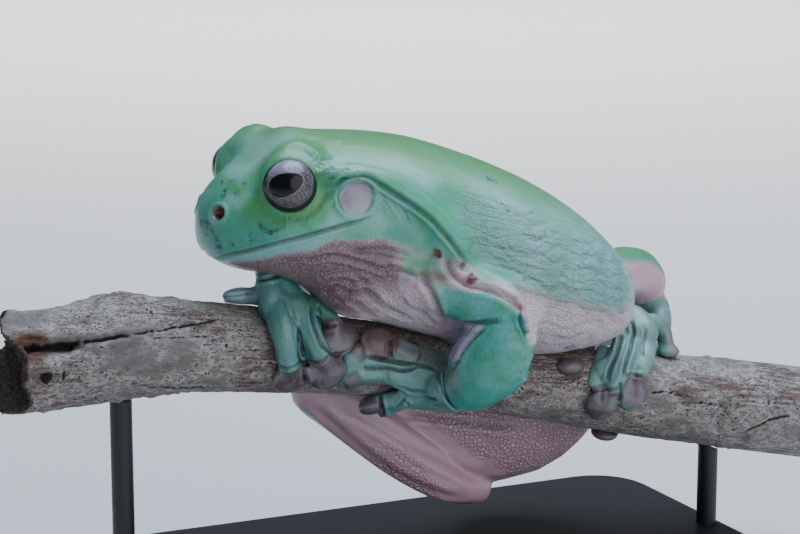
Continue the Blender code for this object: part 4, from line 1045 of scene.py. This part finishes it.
def round_crown(co):
    """Round the top of the head, draw in the elbow and let the throat pouch hang, in place."""
    x, y, z = co.T
    for rise, (middle_x, middle_y), (width_x, width_y) in CROWN_HUMPS:
        hump = np.exp(-((x - middle_x) / width_x) ** 2 - ((y - middle_y) / width_y) ** 2)
        co[:, 2] += rise * hump * step(33.0, 36.0, z)
    elbow = step(-20.8, -22.6, y) * step(0.5, 3.5, z) * step(17.5, 14.5, z)
    co[:, 0] -= elbow * 0.66 * np.maximum(x - 8.6, 0)
    pouch = np.exp(-((x + 12.6) / 5.0) ** 2 - ((y + 6.6) / 4.5) ** 2 - ((z - 12.2) / 3.5) ** 2)
    co += pouch[:, None] * np.array((-0.2, -0.5, -1.7))


def face_or_crease(co):
    """The vertices whose faces are split once more."""
    x, y, z = co.T
    face = (x < -9.0) & (z > 17.5) & (np.abs(y) > 2.0) & (z < 37.5)
    return face | near_creases(co, CREASES, 1.3)


def carve_face(co, normal, finder, found):
    """Nostrils, eardrums, warts and rough skin of both sides, in place; found holds their masks."""
    for side in (-1, 1):
        nose, ear = lay_on(finder, (on_side(NOSTRIL, side), on_side(EARDRUM_CENTRE, side)))
        gap = np.linalg.norm((co - nose) * (0.9, 0.9, 1.1), axis=1)
        push = 0.30 * np.exp(-((gap - 1.35) / 0.40) ** 2) - 1.2 * np.exp(-(gap / 1.0) ** 4)
        co += normal * push[:, None]
        # the nostril's hole is painted the dark red of the sores, partly its own colour and partly painted
        # shade
        found["sore"] = np.maximum(found["sore"], step(1.3, 1.0, gap))
        found["pale_and_highlight"] = np.maximum(found["pale_and_highlight"], 0.15 * np.exp(-((gap - 1.6) / 0.4) ** 2))

        out = unit(on_side(EARDRUM_AXIS, side))
        away = co - ear
        depth = away @ out
        flat = np.linalg.norm(away - depth[:, None] * out, axis=1)
        near = np.abs(depth) < 3.0
        push = (-0.30 * step(3.0, 2.5, flat) + 0.22 * np.exp(-((flat - 3.15) / 0.45) ** 2)
                + 0.10 * step(2.2, 0.5, flat)) * near
        co += normal * push[:, None]
        found["drum"] = np.maximum(found["drum"], step(2.65, 2.4, flat) * near)
        found["pale_and_highlight"] = np.maximum(found["pale_and_highlight"], 0.3 * np.exp(-((flat - 3.1) / 0.25) ** 2) * near)
        # painted shadow under the upper rim of the eardrum
        shadow = step(-2.0, 0.5, away[:, 2] - 0.6 * away[:, 0])
        found["crease"] = np.maximum(
            found["crease"], 0.55 * np.exp(-((flat - 2.68) / 0.14) ** 2) * near * shadow)

        for place, radius in WARTS:
            wart = lay_on(finder, [on_side(place, side)])[0]
            bump = np.exp(-(np.linalg.norm(co - wart, axis=1) / (0.8 * radius)) ** 2)
            co += normal * (0.8 * radius * bump)[:, None]
            found["pale_and_highlight"] = np.maximum(found["pale_and_highlight"], 0.4 * bump)
        behind = (co - on_side(BEHIND_EYE, side)) * (0.8, 0.8, 1.0)
        behind = step(4.2, 2.6, np.linalg.norm(behind, axis=1))
        knobs = np.sin(5.1 * co[:, 0] + 2.0 * co[:, 2]) * np.sin(5.9 * co[:, 2] - 1.7 * co[:, 0])
        co += normal * (0.08 * behind * np.clip(knobs + 0.2, 0, 1))[:, None]


def body_masks(co, normal, found):
    """All masks of the body skin; found holds those of the face, the creases, sores and flecks."""
    x, y, z = co.T
    pink, throat, olive, blue, wrinkle = body_zones(co, normal)
    arm = np.zeros(len(co))
    for bone in ARM_BONES:
        index, gap, _ = near_line(co, smooth_path(bone), 7.5)
        arm[index] = np.maximum(arm[index], step(7.2, 6.0, gap))
    arm *= 1 - area(co, "not_arm", np.interp(x, [-1.0, 2.5], [2.4, 0.6]))
    pink, throat, wrinkle = pink * (1 - arm), throat * (1 - arm), wrinkle * (1 - arm)
    # the far knee, pink inside
    knee = (x > 41.5) & (y > 3) & (z > 1)
    pink = np.where(knee, 1.1 * step(-0.10, 0.40, normal @ np.array((-0.55, -0.80, -0.25))), pink)
    wrinkle = np.where(knee, 0.0, wrinkle)

    lip = np.interp(x, *np.array([(p[0], p[2]) for p in MOUTH_LINE]).T)
    band = step(0.3, -0.2, z - lip) * step(-14.0, -18.0, x) * (1 - throat) * step(-3.2, -2.2, z - lip)
    cheek = np.exp(-((x + 28.0) / 4.0) ** 2 - ((z - 28.5) / 3.2) ** 2) * step(4.0, 8.0, np.abs(y))
    under = np.interp(x, *np.array(THROAT_BORDER).T) - z
    belly = step(-1.8, 3.2, under) * step(4.0, 9.0, x) * (1 - arm)
    chest = step(3.0, -2.0, z - 14.5) * step(-15.0, -6.0, x) * (1 - arm) * step(3.0, -1.0, x) * pink
    chest = np.maximum.reduce([chest, 0.9 * belly * (np.abs(y) < 24) * (x < 42) * ~knee,
                               area(co, "chest_pale", 3.2)])
    flap = step(4.2, 2.6, np.linalg.norm((co - (3.6, -15.6, 7.2)) * (1.0, 0.8, 0.8), axis=1)) * (y < 0)
    flap = np.maximum(area(co, "flap", 0.5), 0.7 * flap)
    # painted highlight: the upper flank is paled where the light above gleams on it
    flank_highlight = step(2.0, 12.0, x) * step(0.95, 0.6, normal[:, 2]) * (1 - arm) * step(40.0, 28.0, x)
    flank_highlight = 0.62 * flank_highlight * step(0.5, -2.0, under)

    mirrored = np.column_stack([x, -np.abs(y), z])
    # painted shade: a darker olive band in the hollow between the forehead and the lids, kept clear of the
    # painted highlights
    face, snout, brow_shade = (area(mirrored, n, 1.4) for n in ("face_green", "snout_blue", "brow_shade_green"))
    # painted highlights: forehead, temple, lid tops, ear ridge, jaw corner and nose are paled where the light
    # above gleams
    painted_highlight = [0.42 * area(co, "forehead", 1.2, 12.0)]
    painted_highlight += [0.38 * area(mirrored, n, 1.0)
            for n in ("temple", "lid_top", "ear_ridge", "jaw_corner", "nose_pale")]
    field, grey = area(co, "sore_field", 0.5), area(co, "grey_shoulder", 4.0)
    speckled, knob = area(co, "speckled", 1.6), area(co, "elbow_knob", 0.6)
    pink = np.maximum.reduce([pink * (1 - 0.7 * grey), 0.48 * field, 0.32 * grey, 0.45 * speckled])
    return {
        "pink": pink, "throat": throat * (1 - grey) * (1 - speckled),
        "olive": np.maximum.reduce([olive, 0.8 * cheek, 0.8 * face, brow_shade]), "crease": found["crease"],
        "wrinkle": np.maximum(wrinkle * (1 - 0.75 * belly), 0.6 * np.maximum(field, speckled)),
        "blue": np.maximum.reduce([blue, 0.9 * speckled, knob, 0.25 * snout]),
        "sore": np.maximum(found["sore"], 0.6 * area(co, "dark_red", 0.7)), "drum": found["drum"],
        # the forearm's edge is browned as painted shade
        "emerald": arm * (1 - flap) * (1 - knob), "brown": 0.55 * area(co, "forearm_brown_shade", 0.9),
        "pale_and_highlight": np.maximum.reduce([found["pale_and_highlight"], 0.5 * band, flank_highlight, *painted_highlight]) * (1 - brow_shade),
        "fleck": found["fleck"], "bare": 0.9 * chest, "lilac": 0.9 * flap,
    }


class FROG_OT_body_skin(bpy.types.Operator):
    """One skin over head, body and upper limbs, with lids, lips, nostrils, eardrums and folds"""
    bl_idname = "frog.body_skin"
    bl_label = "Body skin"

    def execute(self, context):
        look = context.scene.frog_look
        names = ["head", "torso", "eardrum_left", "eardrum_right", "eye_left", "eye_right",
                 "upper_arm_left", "upper_arm_right", "forearm_left", "forearm_right", "thigh_left"]
        skin = fuse("body_skin", [copy_of_node(n, BODY_SWELL) for n in names], BODY_CELL)
        relax(skin, 12)
        co = points_of(skin) - normals_of(skin) * BODY_SWELL * 0.6
        round_crown(co)
        move_points(skin, co)
        refine(skin, face_or_crease)
        relax(skin, 2)
        co, rim = shape_lids(points_of(skin), look.eye_radius / MM)
        move_points(skin, co)
        relax(skin, 1, weight=0.6 * (rim > 0.05))
        crease = fold_skin(skin, CREASES)

        co, normal = points_of(skin), normals_of(skin)
        found = {"crease": crease, "sore": spots(co, SORES, 0.12), "fleck": spots(co, FLECKS, 0.25),
                 "drum": np.zeros(len(co)), "pale_and_highlight": np.zeros(len(co))}
        carve_face(co, normal, surface_finder(skin), found)
        co += normal * (0.45 * area(co, "elbow_knob", 0.5) + 0.5 * area(co, "flap", 1.0))[:, None]
        loose = body_zones(co, normal)[4] * (co[:, 0] < 41.0)
        valley = loose_folds(co, loose * (1 - area(co, "flap", 2.0)))
        co -= normal * (look.fold_depth / MM * valley)[:, None]
        # painted shade in the valleys of the loose folds
        found["crease"] = np.maximum(found["crease"], 0.30 * valley)
        swollen = np.exp(-((found["sore"] - 0.35) / 0.2) ** 2) * (co[:, 0] > -10)
        co += normal * (0.25 * swollen)[:, None]
        move_points(skin, co)
        paint_skin(skin, body_masks(co, normals_of(skin), found))
        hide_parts(*[n for n in names if not n.startswith("eye_")])
        return {"FINISHED"}


def outward(point):
    """Direction away from the branch's axis."""
    height = along(BRANCH_AXIS, point[0])[0][0]
    return unit((0.0, point[1], point[2] - height))


def pad(x, y, z, length, breadth):
    """Flattened round toe pad lying on the bark."""
    out = Vector(outward((x, y, z)))
    run = Vector((1.0, 0.0, 0.0))
    turn = Matrix((run, out.cross(run), out)).transposed()
    return ball((x, y, z), turn, (length, breadth, PAD_THICKNESS), 40, 24)


def limb_skin(name, nodes, digits, pads, cell, rounds, creases, zones, tuck=None):
    """Skin of a hand, foot or leg: its nodes with finely shaped digits and pads grown over them."""
    pieces = [copy_of_node(n, 0.1) for n in nodes]
    for rows in digits:
        middle = rows[len(rows) // 2]
        pieces.append(tube(rows, up=tuple(outward(middle)), sides=20, spacing=0.5))
    pieces += [pad(*row) for row in pads]
    skin = fuse(name, pieces, cell)
    relax(skin, rounds)
    found = {name: np.zeros(len(skin.data.vertices)) for names in SKIN_MASKS.values() for name in names}
    # painted shade in the creases of the digits and pads
    found["crease"] = np.clip(1.35 * fold_skin(skin, creases), 0, 1)
    co, normal = points_of(skin), normals_of(skin)
    for row in pads:
        away = (co - np.array(row[:3])) / (max(row[3], row[4]) + 0.25)
        found["pad"] = np.maximum(found["pad"], step(1.18, 0.90, np.linalg.norm(away, axis=1)))
    zones(co, normal, found)
    if tuck:
        move_points(skin, tuck(co))
    paint_skin(skin, found)
    return skin


def left_hand_zones(co, normal, found):
    x, _, z = co.T
    found["blue"][:] = 0.45
    # painted highlight: faces turned up are paler
    found["pale_and_highlight"][:] = 0.25 * step(-0.2, 0.7, normal[:, 2]) * (1 - found["pad"])
    found["lilac"][:] = 0.15 * (1 - found["pad"])
    found["brown"][:] = np.maximum(0.14, 0.7 * step(-1.2, 0.8, z - 1.4 + 0.30 * x) * step(6.0, 4.0, x))


def right_hand_zones(co, normal, found):
    x, y, z = co.T
    found["blue"][:] = 0.6
    thumb = step(-22.6, -23.8, x) * step(9.4, 10.4, z) * step(-3.2, -2.0, y)
    found["pad"] *= 1 - thumb
    found["pale_and_highlight"][:] = 0.9 * thumb
    found["lilac"][:] = 0.7 * thumb
    # painted shade: the right hand is browned all over as it lies in the head's shadow; the thumb's underside
    # is its own brown
    found["brown"][:] = np.maximum(0.28 * (1 - thumb), 0.8 * thumb * step(0.25, -0.15, normal[:, 2]))


class FROG_OT_hands(bpy.types.Operator):
    """Both hands, with round toe pads pressed on the bark"""
    bl_idname = "frog.hands"
    bl_label = "Hands"

    def execute(self, context):
        hand = limb_skin("hand_left_skin", ["hand_left"], HAND_LEFT, HAND_LEFT_PADS, HAND_CELL, 3,
                         HAND_LEFT_CREASES, left_hand_zones)
        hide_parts("hand_left")
        hand = limb_skin("hand_right_skin", ["hand_right"], HAND_RIGHT, HAND_RIGHT_PADS, HAND_CELL, 3,
                         HAND_RIGHT_CREASES, right_hand_zones)
        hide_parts("hand_right")
        return {"FINISHED"}


def left_leg_zones(co, normal, found):
    x, y, z = co.T
    # painted highlight: faces turned up towards the light are paler
    painted_highlight = step(0.0, 0.8, normal @ np.array((-0.3, -0.3, 0.9)))
    # painted shade in the hollow of the curled toe, browned
    hollow_shade = step(49.0, 50.5, x) * step(4.0, 2.5, y) * step(0.6, -0.6, normal[:, 1])
    found["blue"][:] = 0.5
    found["pale_and_highlight"][:] = 0.12 * painted_highlight * (1 - found["pad"])
    found["lilac"][:] = 0.16 * (1 - found["pad"])
    found["pink"][:] = step(2.0, 3.4, z) * step(9.0, 11.0, y) * (x > 46)
    found["brown"][:] = 0.24 + 0.4 * hollow_shade


def right_leg_zones(co, normal, found):
    y = co[:, 1]
    shank = np.zeros(len(co))
    index, gap, _ = near_line(co, smooth_path([(-9.6, 12.0, -6.6), (20.8, 13.0, -27.8)]), 9.0)
    shank[index] = step(6.9, 5.6, gap) * (y[index] < 16)
    outer = step(0.05, 0.5, normal[:, 1]) * step(7.0, 12.0, y)
    below = step(-0.3, -1.0, normal[:, 2] + 0.35 * normal[:, 0])
    found["blue"][:] = 0.35 * outer
    found["pink"][:] = (1 - outer) * (1 - 0.36 * shank * below)
    found["granule"][:] = np.clip(1 - 1.3 * shank, 0, 1) * (1 - found["pad"]) * (1 - outer)
    found["brown"][:] = 0.35 * found["pad"]


def tuck_toes(co):
    """Far toes stay behind the branch's lower edge."""
    co[:, 2] += 2.0 * step(-14.5, -17.5, co[:, 2]) * step(42.0, 46.0, co[:, 0])
    return co


class FROG_OT_lower_legs(bpy.types.Operator):
    """Right leg under the branch, left lower leg, and the feet"""
    bl_idname = "frog.lower_legs"
    bl_label = "Lower legs"

    def execute(self, context):
        leg = limb_skin("leg_left_skin", ["shank_left", "foot_left"], FOOT_LEFT, FOOT_LEFT_PADS,
                        LEFT_LEG_CELL, 3, FOOT_LEFT_CREASES, left_leg_zones)
        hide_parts("shank_left", "foot_left")
        far_pads = [(*on_branch(x, angle, 0.9), 2.5, 2.5) for x, angle in FAR_TOES]
        leg = limb_skin("leg_right_skin", ["thigh_right", "shank_right", "foot_right"], [], far_pads,
                        RIGHT_LEG_CELL, 6, LEG_RIGHT_CREASES, right_leg_zones, tuck_toes)
        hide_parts("thigh_right", "shank_right", "foot_right")
        return {"FINISHED"}


# Eyes

def frog_eye(side):
    """Wet eyeball: silver-grey granular iris, black lying-oval pupil, black rim, painted shade under the lids
    and a painted reflection on top, under a clear coat.
    """
    material, tree, shader = new_material("wet_eye_left" if side < 0 else "wet_eye_right")
    centre, axis, fore, up = eye_frame(side)
    tilt = math.radians(18.0)
    level = fore * math.cos(tilt) - up * math.sin(tilt)
    raised = up * math.cos(tilt) + fore * math.sin(tilt)
    place = add_node(tree, "ShaderNodeTexCoord").outputs["Object"]
    spot = Vector((centre[0], centre[1], centre[2] + AXIS_HEIGHT)) * MM
    away = add_node(tree, "ShaderNodeVectorMath", {0: place, 1: spot}, operation="SUBTRACT").outputs[0]
    mm = add_node(tree, "ShaderNodeVectorMath", {0: away, 1: (1 / MM,) * 3}, operation="MULTIPLY").outputs[0]

    def measure(direction):
        return add_node(tree, "ShaderNodeVectorMath", {0: mm, 1: tuple(direction)},
                        operation="DOT_PRODUCT").outputs["Value"]
    across, rise, out = measure(level), measure(raised), measure(axis)
    flat = add_node(tree, "ShaderNodeCombineXYZ", {
        0: total(tree, across, 0.1), 1: total(tree, rise, -0.3), 2: 0.0})
    radius = add_node(tree, "ShaderNodeVectorMath", {0: flat.outputs[0]}, operation="LENGTH").outputs["Value"]
    wobble = clouds(tree, mm, 1.1, 3.0)
    # the pupil lies level, blunt in front and drawn out to a point behind
    narrowing = total(tree, 1.0, product(tree, across, -0.08))
    oval = add_node(tree, "ShaderNodeCombineXYZ", {
        0: product(tree, total(tree, across, -0.45), 1 / 2.6),
        1: product(tree, total(tree, rise, -0.42), narrowing, 1 / 1.62), 2: 0.0}).outputs[0]
    pupil_reach = add_node(tree, "ShaderNodeVectorMath", {0: oval}, operation="LENGTH").outputs["Value"]
    pupil_reach = total(tree, pupil_reach, product(tree, total(tree, wobble, -0.5), 0.14))
    speck = cells(tree, mm, 5.0)
    vein = clouds(tree, mm, 3.6, 5.0, 0.75)
    streak = product(tree, ramp(tree, across, 2.2, 2.7), ramp(tree, rise, -0.5, -0.1),
                     ramp(tree, total(tree, rise, product(tree, across, -0.1)), 0.5, 0.1))
    dark, rim = linear("#231F23"), linear("#08080A")
    iris = coats(
        tree, dark,
        (ramp(tree, vein, 0.40, 0.62), linear("#78737B")),
        (ramp(tree, speck, 0.30, 0.05, 0.0, 0.45), linear("#B4AFB4")),
        # the iris is browner towards the bottom, and a lavender painted reflection of the light above lies
        # over its top
        (ramp(tree, rise, -3.5, 3.0, 0.40, 0.0), linear("#5A4B49")),
        (ramp(tree, rise, 1.2, 3.6, 0.0, 0.45), linear("#B9B4CC")),
        (product(tree, ramp(tree, pupil_reach, 1.12, 1.05), 0.22), linear("#B5AFAC")),
        (ramp(tree, pupil_reach, 1.05, 1.01), linear("#05070D")),
        (product(tree, streak, 0.8), linear("#1A1618")),
        # a near-black ring round the iris, and painted shade where the eyeball goes in under the lids
        (ramp(tree, total(tree, radius, product(tree, wobble, 0.35)), 3.72, 3.95), rim),
        (ramp(tree, out, 1.3, 0.9), rim))
    tree.links.new(iris, shader.inputs["Base Color"])
    finish_values(shader, Roughness=0.28, IOR=1.38, Specular_IOR_Level=0.25, Coat_Weight=0.7,
                  Coat_Roughness=0.04, Coat_IOR=1.38)
    return material


class FROG_OT_eyes(bpy.types.Operator):
    """Both eyeballs, with a slightly bulging cornea"""
    bl_idname = "frog.eyes"
    bl_label = "Eyes"

    def execute(self, context):
        radius = context.scene.frog_look.eye_radius / MM
        for side, name in ((-1, "eye_left"), (1, "eye_right")):
            centre, axis, _, _ = eye_frame(side)
            turn = Vector(axis).to_track_quat("Z", "Y").to_matrix()
            eye = ball(centre, turn, (radius,) * 3, 72, 48)
            eye.name = name + "_ball"
            eye.data.name = eye.name
            co = points_of(eye)
            out = (co - centre) @ axis / radius
            co += axis * (0.25 * step(0.45, 1.0, out))[:, None]
            move_points(eye, co)
            eye.data.materials.append(frog_eye(side))
            smooth_shading(eye)
            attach(eye, "root")
            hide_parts(name)
        return {"FINISHED"}


# Branch

def weathered_bark():
    """Dead, weathered stick: thin grey-white bark speckled black by fungus, brown where it is worn."""
    material, tree, shader = new_material("weathered_bark")
    colour = chosen_colours()
    mm = millimetres(tree)
    slope = (0.0, math.radians(-9.0), 0.0)
    laid = millimetres(tree, (0.5, 1.0, 1.0), slope)
    end_grain, crack_shade, worn, lichen = masks(tree, "bark")
    # painted shade in the cracks and the knot's hollow
    crack_shade = ramp(tree, crack_shade, 0.12, 0.5)
    cloud = clouds(tree, laid, 0.13, 6.0, 0.62)
    fine = clouds(tree, laid, 1.5, 7.0, 0.7)
    fibre = clouds(tree, millimetres(tree, (0.07, 1.0, 1.0), slope), 2.0, 5.0)
    warp = clouds(tree, mm, 1.6, 3.0, output="Color")
    swayed = add_node(tree, "ShaderNodeVectorMath", {0: laid, 1: warp}, operation="ADD").outputs[0]
    patch = ramp(tree, cloud, 0.40, 0.56)
    speckle = total(
        tree, product(tree, ramp(tree, cells(tree, swayed, 2.1), 0.36, 0.22), ramp(tree, fine, 0.42, 0.56),
                      ramp(tree, cloud, 0.36, 0.5, 0.35, 1.0)),
        product(tree, ramp(tree, cells(tree, swayed, 3.9), 0.34, 0.20), patch, 0.85))
    wood = blend(tree, ramp(tree, fibre, 0.35, 0.65), linear("#2E1C14"), linear("#7C5236"))
    # near-black brown on the branch's end faces
    end_face_dark = blend(tree, ramp(tree, fine, 0.4, 0.6), linear("#15110F"), linear("#4A3A30"))
    base = coats(
        tree, colour["bark_dark"],
        (ramp(tree, fine, 0.32, 0.64), colour["bark_light"]),
        (product(tree, ramp(tree, cloud, 0.50, 0.36), 0.75), linear("#625A56")),
        (product(tree, ramp(tree, cloud, 0.50, 0.60), ramp(tree, fibre, 0.36, 0.56), 0.8),
         colour["bark_brown"]),
        (ramp(tree, speckle, 0.1, 0.7), colour["bark_speck"]),
        (product(tree, lichen, ramp(tree, fine, 0.42, 0.58)), linear("#A9A685")),
        (worn, wood), (end_grain, end_face_dark), (crack_shade, linear("#100C0B")))
    tree.links.new(base, shader.inputs["Base Color"])
    relief(tree, shader, total(tree, product(tree, fine, 1.0), product(tree, fibre, 0.45),
                               product(tree, speckle, -0.35)), 1.0, 0.45)
    finish_values(shader, Roughness=0.82)
    return material


class FROG_OT_branch(bpy.types.Operator):
    """Dead branch with cracks, a knot and a splintered end"""
    bl_idname = "frog.branch"
    bl_label = "Branch"

    def execute(self, context):
        branch = fuse("bark", [copy_of_node("branch", 0.0)], BARK_CELL)
        relax(branch, 8)
        co, normal = points_of(branch), normals_of(branch)
        x, y, z = co.T
        turn = np.arctan2(-y, z - along(BRANCH_AXIS, x)[:, 0])
        swell = 0.22 * np.sin(2 * turn + 0.21 * x) + 0.16 * np.sin(3 * turn - 0.17 * x + 1.0)
        swell += 0.10 * np.sin(7 * turn + 0.05 * x) * np.sin(0.31 * x + turn)
        swell += 0.07 * np.sin(13 * turn + 0.4 * np.sin(0.3 * x))
        touch = step(-32.0, -36.0, x) + step(56.0, 60.0, x)
        rough = np.array([noise.noise(v * 0.55) + 0.45 * noise.noise(v * 1.6) for v in map(Vector, co)])
        swell += 0.42 * rough
        side = np.abs(co[:, 0]) < 64.0
        co += normal * (swell * np.clip(0.25 + 0.75 * touch, 0, 1) * side)[:, None]
        move_points(branch, co)
        crack_shade = fold_skin(branch, BARK_CRACKS)
        co, normal = points_of(branch), normals_of(branch)
        x, y, z = co.T
        away = np.linalg.norm(co - KNOT, axis=1)
        push = 0.55 * np.exp(-((away - 1.9) / 0.6) ** 2) - 0.5 * np.exp(-(away / 1.1) ** 2)
        worn = 0.6 * step(2.6, 0.6, away)
        away = np.linalg.norm(co - KNOT_HOLLOW, axis=1)
        push -= 0.9 * np.exp(-(away / 0.9) ** 2)
        # the knot's hollow gets painted shade too
        crack_shade = np.maximum(crack_shade, 0.9 * step(1.3, 0.5, away))
        away = co - SPLINTERS
        torn = step(1.1, 0.6, np.linalg.norm(away / (3.4, 6.0, 2.6), axis=1))
        push += torn * 0.45 * np.sin(9.0 * z + 1.5 * x) * np.abs(np.sin(2.1 * z + 0.3))
        worn = np.maximum(worn, 0.95 * torn * (1 - crack_shade))
        ends = step(0.3, 0.7, -normal[:, 0]) * (x < -52.0) + step(0.3, 0.7, normal[:, 0]) * (x > 70.0)
        grain = 0.3 * np.sin(5.3 * y + np.sin(3 * z)) * np.sin(4.1 * z + np.sin(2 * y))
        co += normal * (push + grain * ends)[:, None]
        move_points(branch, co)
        lichen = step(-0.80, -0.96, normal[:, 2]) * step(-70.0, -60.0, x)
        paint(branch, "bark", 0.9 * np.clip(ends, 0, 1), crack_shade, worn, lichen)
        branch.data.materials.clear()
        branch.data.materials.append(weathered_bark())
        smooth_shading(branch)
        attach(branch, "root")
        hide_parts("branch")
        return {"FINISHED"}


# Stand and stage

def black_lacquer():
    """Satin black powder coat, faintly pebbled."""
    material, tree, shader = new_material("satin_black_powder_coat")
    mm = millimetres(tree)
    pebble = clouds(tree, mm, 2.5, 3.0)
    base = blend(tree, ramp(tree, pebble, 0.3, 0.7), chosen_colours()["stand"], linear("#202124"))
    tree.links.new(base, shader.inputs["Base Color"])
    relief(tree, shader, pebble, 0.25, 0.08)
    finish_values(shader, Roughness=0.42)
    return material


class FROG_OT_stand(bpy.types.Operator):
    """Plain display stand"""
    bl_idname = "frog.stand"
    bl_label = "Stand"

    def execute(self, context):
        coat = black_lacquer()
        for name in ("stand_base", "stand_rod_left", "stand_rod_right"):
            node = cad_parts[name]
            if not node.material_slots:
                raise RuntimeError(f"{name} has no material slot")
            for slot in node.material_slots:
                slot.material = coat
        return {"FINISHED"}


def direction(azimuth, elevation):
    """From the stand, degrees round from the near side and up from the table."""
    turn, rise = math.radians(azimuth), math.radians(elevation)
    return Vector((math.sin(turn) * math.cos(rise), -math.cos(turn) * math.cos(rise), math.sin(rise)))


def set_up(name, data, aim, away, distance):
    """Put a lamp or the camera at a distance from what it is aimed at."""
    holder = bpy.data.objects.new(name, data)
    bpy.context.collection.objects.link(holder)
    holder.location = aim + away * distance
    holder.rotation_euler = (-away).to_track_quat("-Z", "Y").to_euler()
    return holder


def lamp(name, azimuth, elevation, distance, size, power, colour, aim, spread=180.0):
    """Round soft lamp; distance and size in metres, power in watts."""
    light = bpy.data.lights.new(name, "AREA")
    light.shape = "DISK"
    light.size = size
    light.energy = power
    light.spread = math.radians(spread)
    light.color = linear(colour)[:3]
    set_up(name, light, aim, direction(azimuth, elevation), distance)


class FROG_OT_stage(bpy.types.Operator):
    """Pale floor, soft studio light and the camera at the photo's angle"""
    bl_idname = "frog.stage"
    bl_label = "Stage"

    def execute(self, context):
        scene = context.scene
        clear_selection()
        bpy.ops.mesh.primitive_plane_add(size=1.0)
        floor = bpy.context.active_object
        floor.name = "studio_floor"
        floor.data.transform(Matrix.Diagonal((6.0, 6.0, 1.0, 1.0)))
        material, _, shader = new_material("pale_studio_paper")
        finish_values(shader, Base_Color=chosen_colours()["floor"], Roughness=0.9)
        floor.data.materials.append(material)

        world = bpy.data.worlds.new("soft_studio")
        scene.world = world
        world.use_nodes = True
        world.node_tree.nodes["Background"].inputs[0].default_value = linear("#E6ECF2")
        world.node_tree.nodes["Background"].inputs[1].default_value = 0.18

        frog = Vector((0.0, 0.0, (15.5 + AXIS_HEIGHT) * MM))
        lamp("overhead_softbox", 110.0, 76.0, 0.62, 0.72, 8.0, "#D4E5FF", frog)
        lamp("front_fill", 18.0, 16.0, 0.9, 1.3, 7.0, "#F4F6FF", frog)
        lamp("floor_light", 0.0, 89.0, 0.9, 1.4, 13.0, "#FFFFFF", Vector((0.5, 1.1, 0.0)), 75.0)

        camera = bpy.data.cameras.new("photo_camera")
        camera.lens = 105.0
        camera.sensor_width = 36.0
        camera.clip_start = 0.01
        scene.camera = set_up("photo_camera", camera, frog, direction(-25.0, 11.0), 0.38)
        return {"FINISHED"}


# Add-on

COLOURS = {      # hex code and where it shows
    "teal": ("#3C9B77", "head and body"), "mint": ("#72BCA4", "lighter clouds of the body"),
    "blue": ("#418E9C", "rump, hands and feet"), "olive": ("#448D40", "crown and brow"),
    "leaf": ("#47A463", "greener clouds of the body"), "emerald": ("#3C9A7C", "shaded parts of the arm"),
    # frost: pale lips, warts and rims, and painted highlights on the flank, head and faces turned up
    "arm": ("#4FA39B", "upper arm and elbow"), "frost": ("#A3CCD0", "pale sheen of flank and lids"),
    "pink": ("#C8A2AE", "thigh and folded leg"), "throat": ("#7A5D60", "throat"),
    "granule": ("#BFA8AC", "granules of the throat"), "bare": ("#F0E0E3", "chest and belly"),
    "lilac": ("#A79CB8", "inside of the elbow"), "pad": ("#4B444B", "toe pads"),
    # brown: stains of the toes, and painted shade on the right hand, the forearm's edge and a toe's hollow
    "pad_light": ("#6C6873", "lighter clouds of the toe pads"), "brown": ("#6E4B3E", "stains of the toes"),
    # crease: painted shade in creases, fold valleys and granule gaps; sore: also the nostrils, painted dark
    # partly as shade
    "crease": ("#3A3438", "bottom of the creases"), "sore": ("#5E1A1C", "sores and nostrils"),
    "drum": ("#A39AAA", "eardrums"), "fleck": ("#2B3A55", "dark flecks"),
    "bark_dark": ("#716A66", "darker bark"), "bark_light": ("#B5AEA9", "lighter bark"),
    "bark_brown": ("#5E4336", "brown, worn bark"), "bark_speck": ("#1C1816", "black specks of the bark"),
    "stand": ("#17181A", "stand"), "floor": ("#DAD9D6", "studio floor"),
}


class FrogLook(bpy.types.PropertyGroup):
    """Sizes a user may change."""
    eye_radius: FloatProperty(
        name="Eye radius", description="Radius of the eyeball", default=4.3 * MM, unit="LENGTH")
    fold_depth: FloatProperty(
        name="Fold depth", description="Depth of the flank's loose folds", default=0.24 * MM, unit="LENGTH")


class FrogColours(bpy.types.PropertyGroup):
    """Colours a user may change."""
    __annotations__ = {
        key: FloatVectorProperty(
            name=key.replace("_", " ").capitalize(), description=f"Colour of the {place}",
            default=linear(code), size=4, min=0.0, max=1.0, subtype="COLOR")
        for key, (code, place) in COLOURS.items()}


def chosen_colours():
    """The present colours as linear RGBA."""
    return {key: tuple(getattr(bpy.context.scene.frog_colours, key)) for key in COLOURS}


class FROG_PT_panel(bpy.types.Panel):
    """Sidebar panel that lists the pieces"""
    bl_idname = "FROG_PT_panel"
    bl_label = "Tree frog"
    bl_space_type = "VIEW_3D"
    bl_region_type = "UI"
    bl_category = "Tree frog"

    def draw(self, context):
        column = self.layout.column()
        for group in (context.scene.frog_look, context.scene.frog_colours):
            for key in group.__annotations__:
                column.prop(group, key)
        for operator in PIECES:
            column.operator(operator.bl_idname)


PIECES = (FROG_OT_body_skin, FROG_OT_hands, FROG_OT_lower_legs, FROG_OT_eyes, FROG_OT_branch,
          FROG_OT_stand, FROG_OT_stage)
CLASSES = (FrogLook, FrogColours, *PIECES, FROG_PT_panel)


def register():
    for cls in CLASSES:
        bpy.utils.register_class(cls)
    bpy.types.Scene.frog_look = PointerProperty(type=FrogLook)
    bpy.types.Scene.frog_colours = PointerProperty(type=FrogColours)


def unregister():
    del bpy.types.Scene.frog_look, bpy.types.Scene.frog_colours
    for cls in reversed(CLASSES):
        bpy.utils.unregister_class(cls)


def main():
    register()
    bpy.ops.frog.body_skin()
    bpy.ops.frog.hands()
    bpy.ops.frog.lower_legs()
    bpy.ops.frog.eyes()
    bpy.ops.frog.branch()
    bpy.ops.frog.stand()
    bpy.ops.frog.stage()


if __name__ == "__main__":
    main()
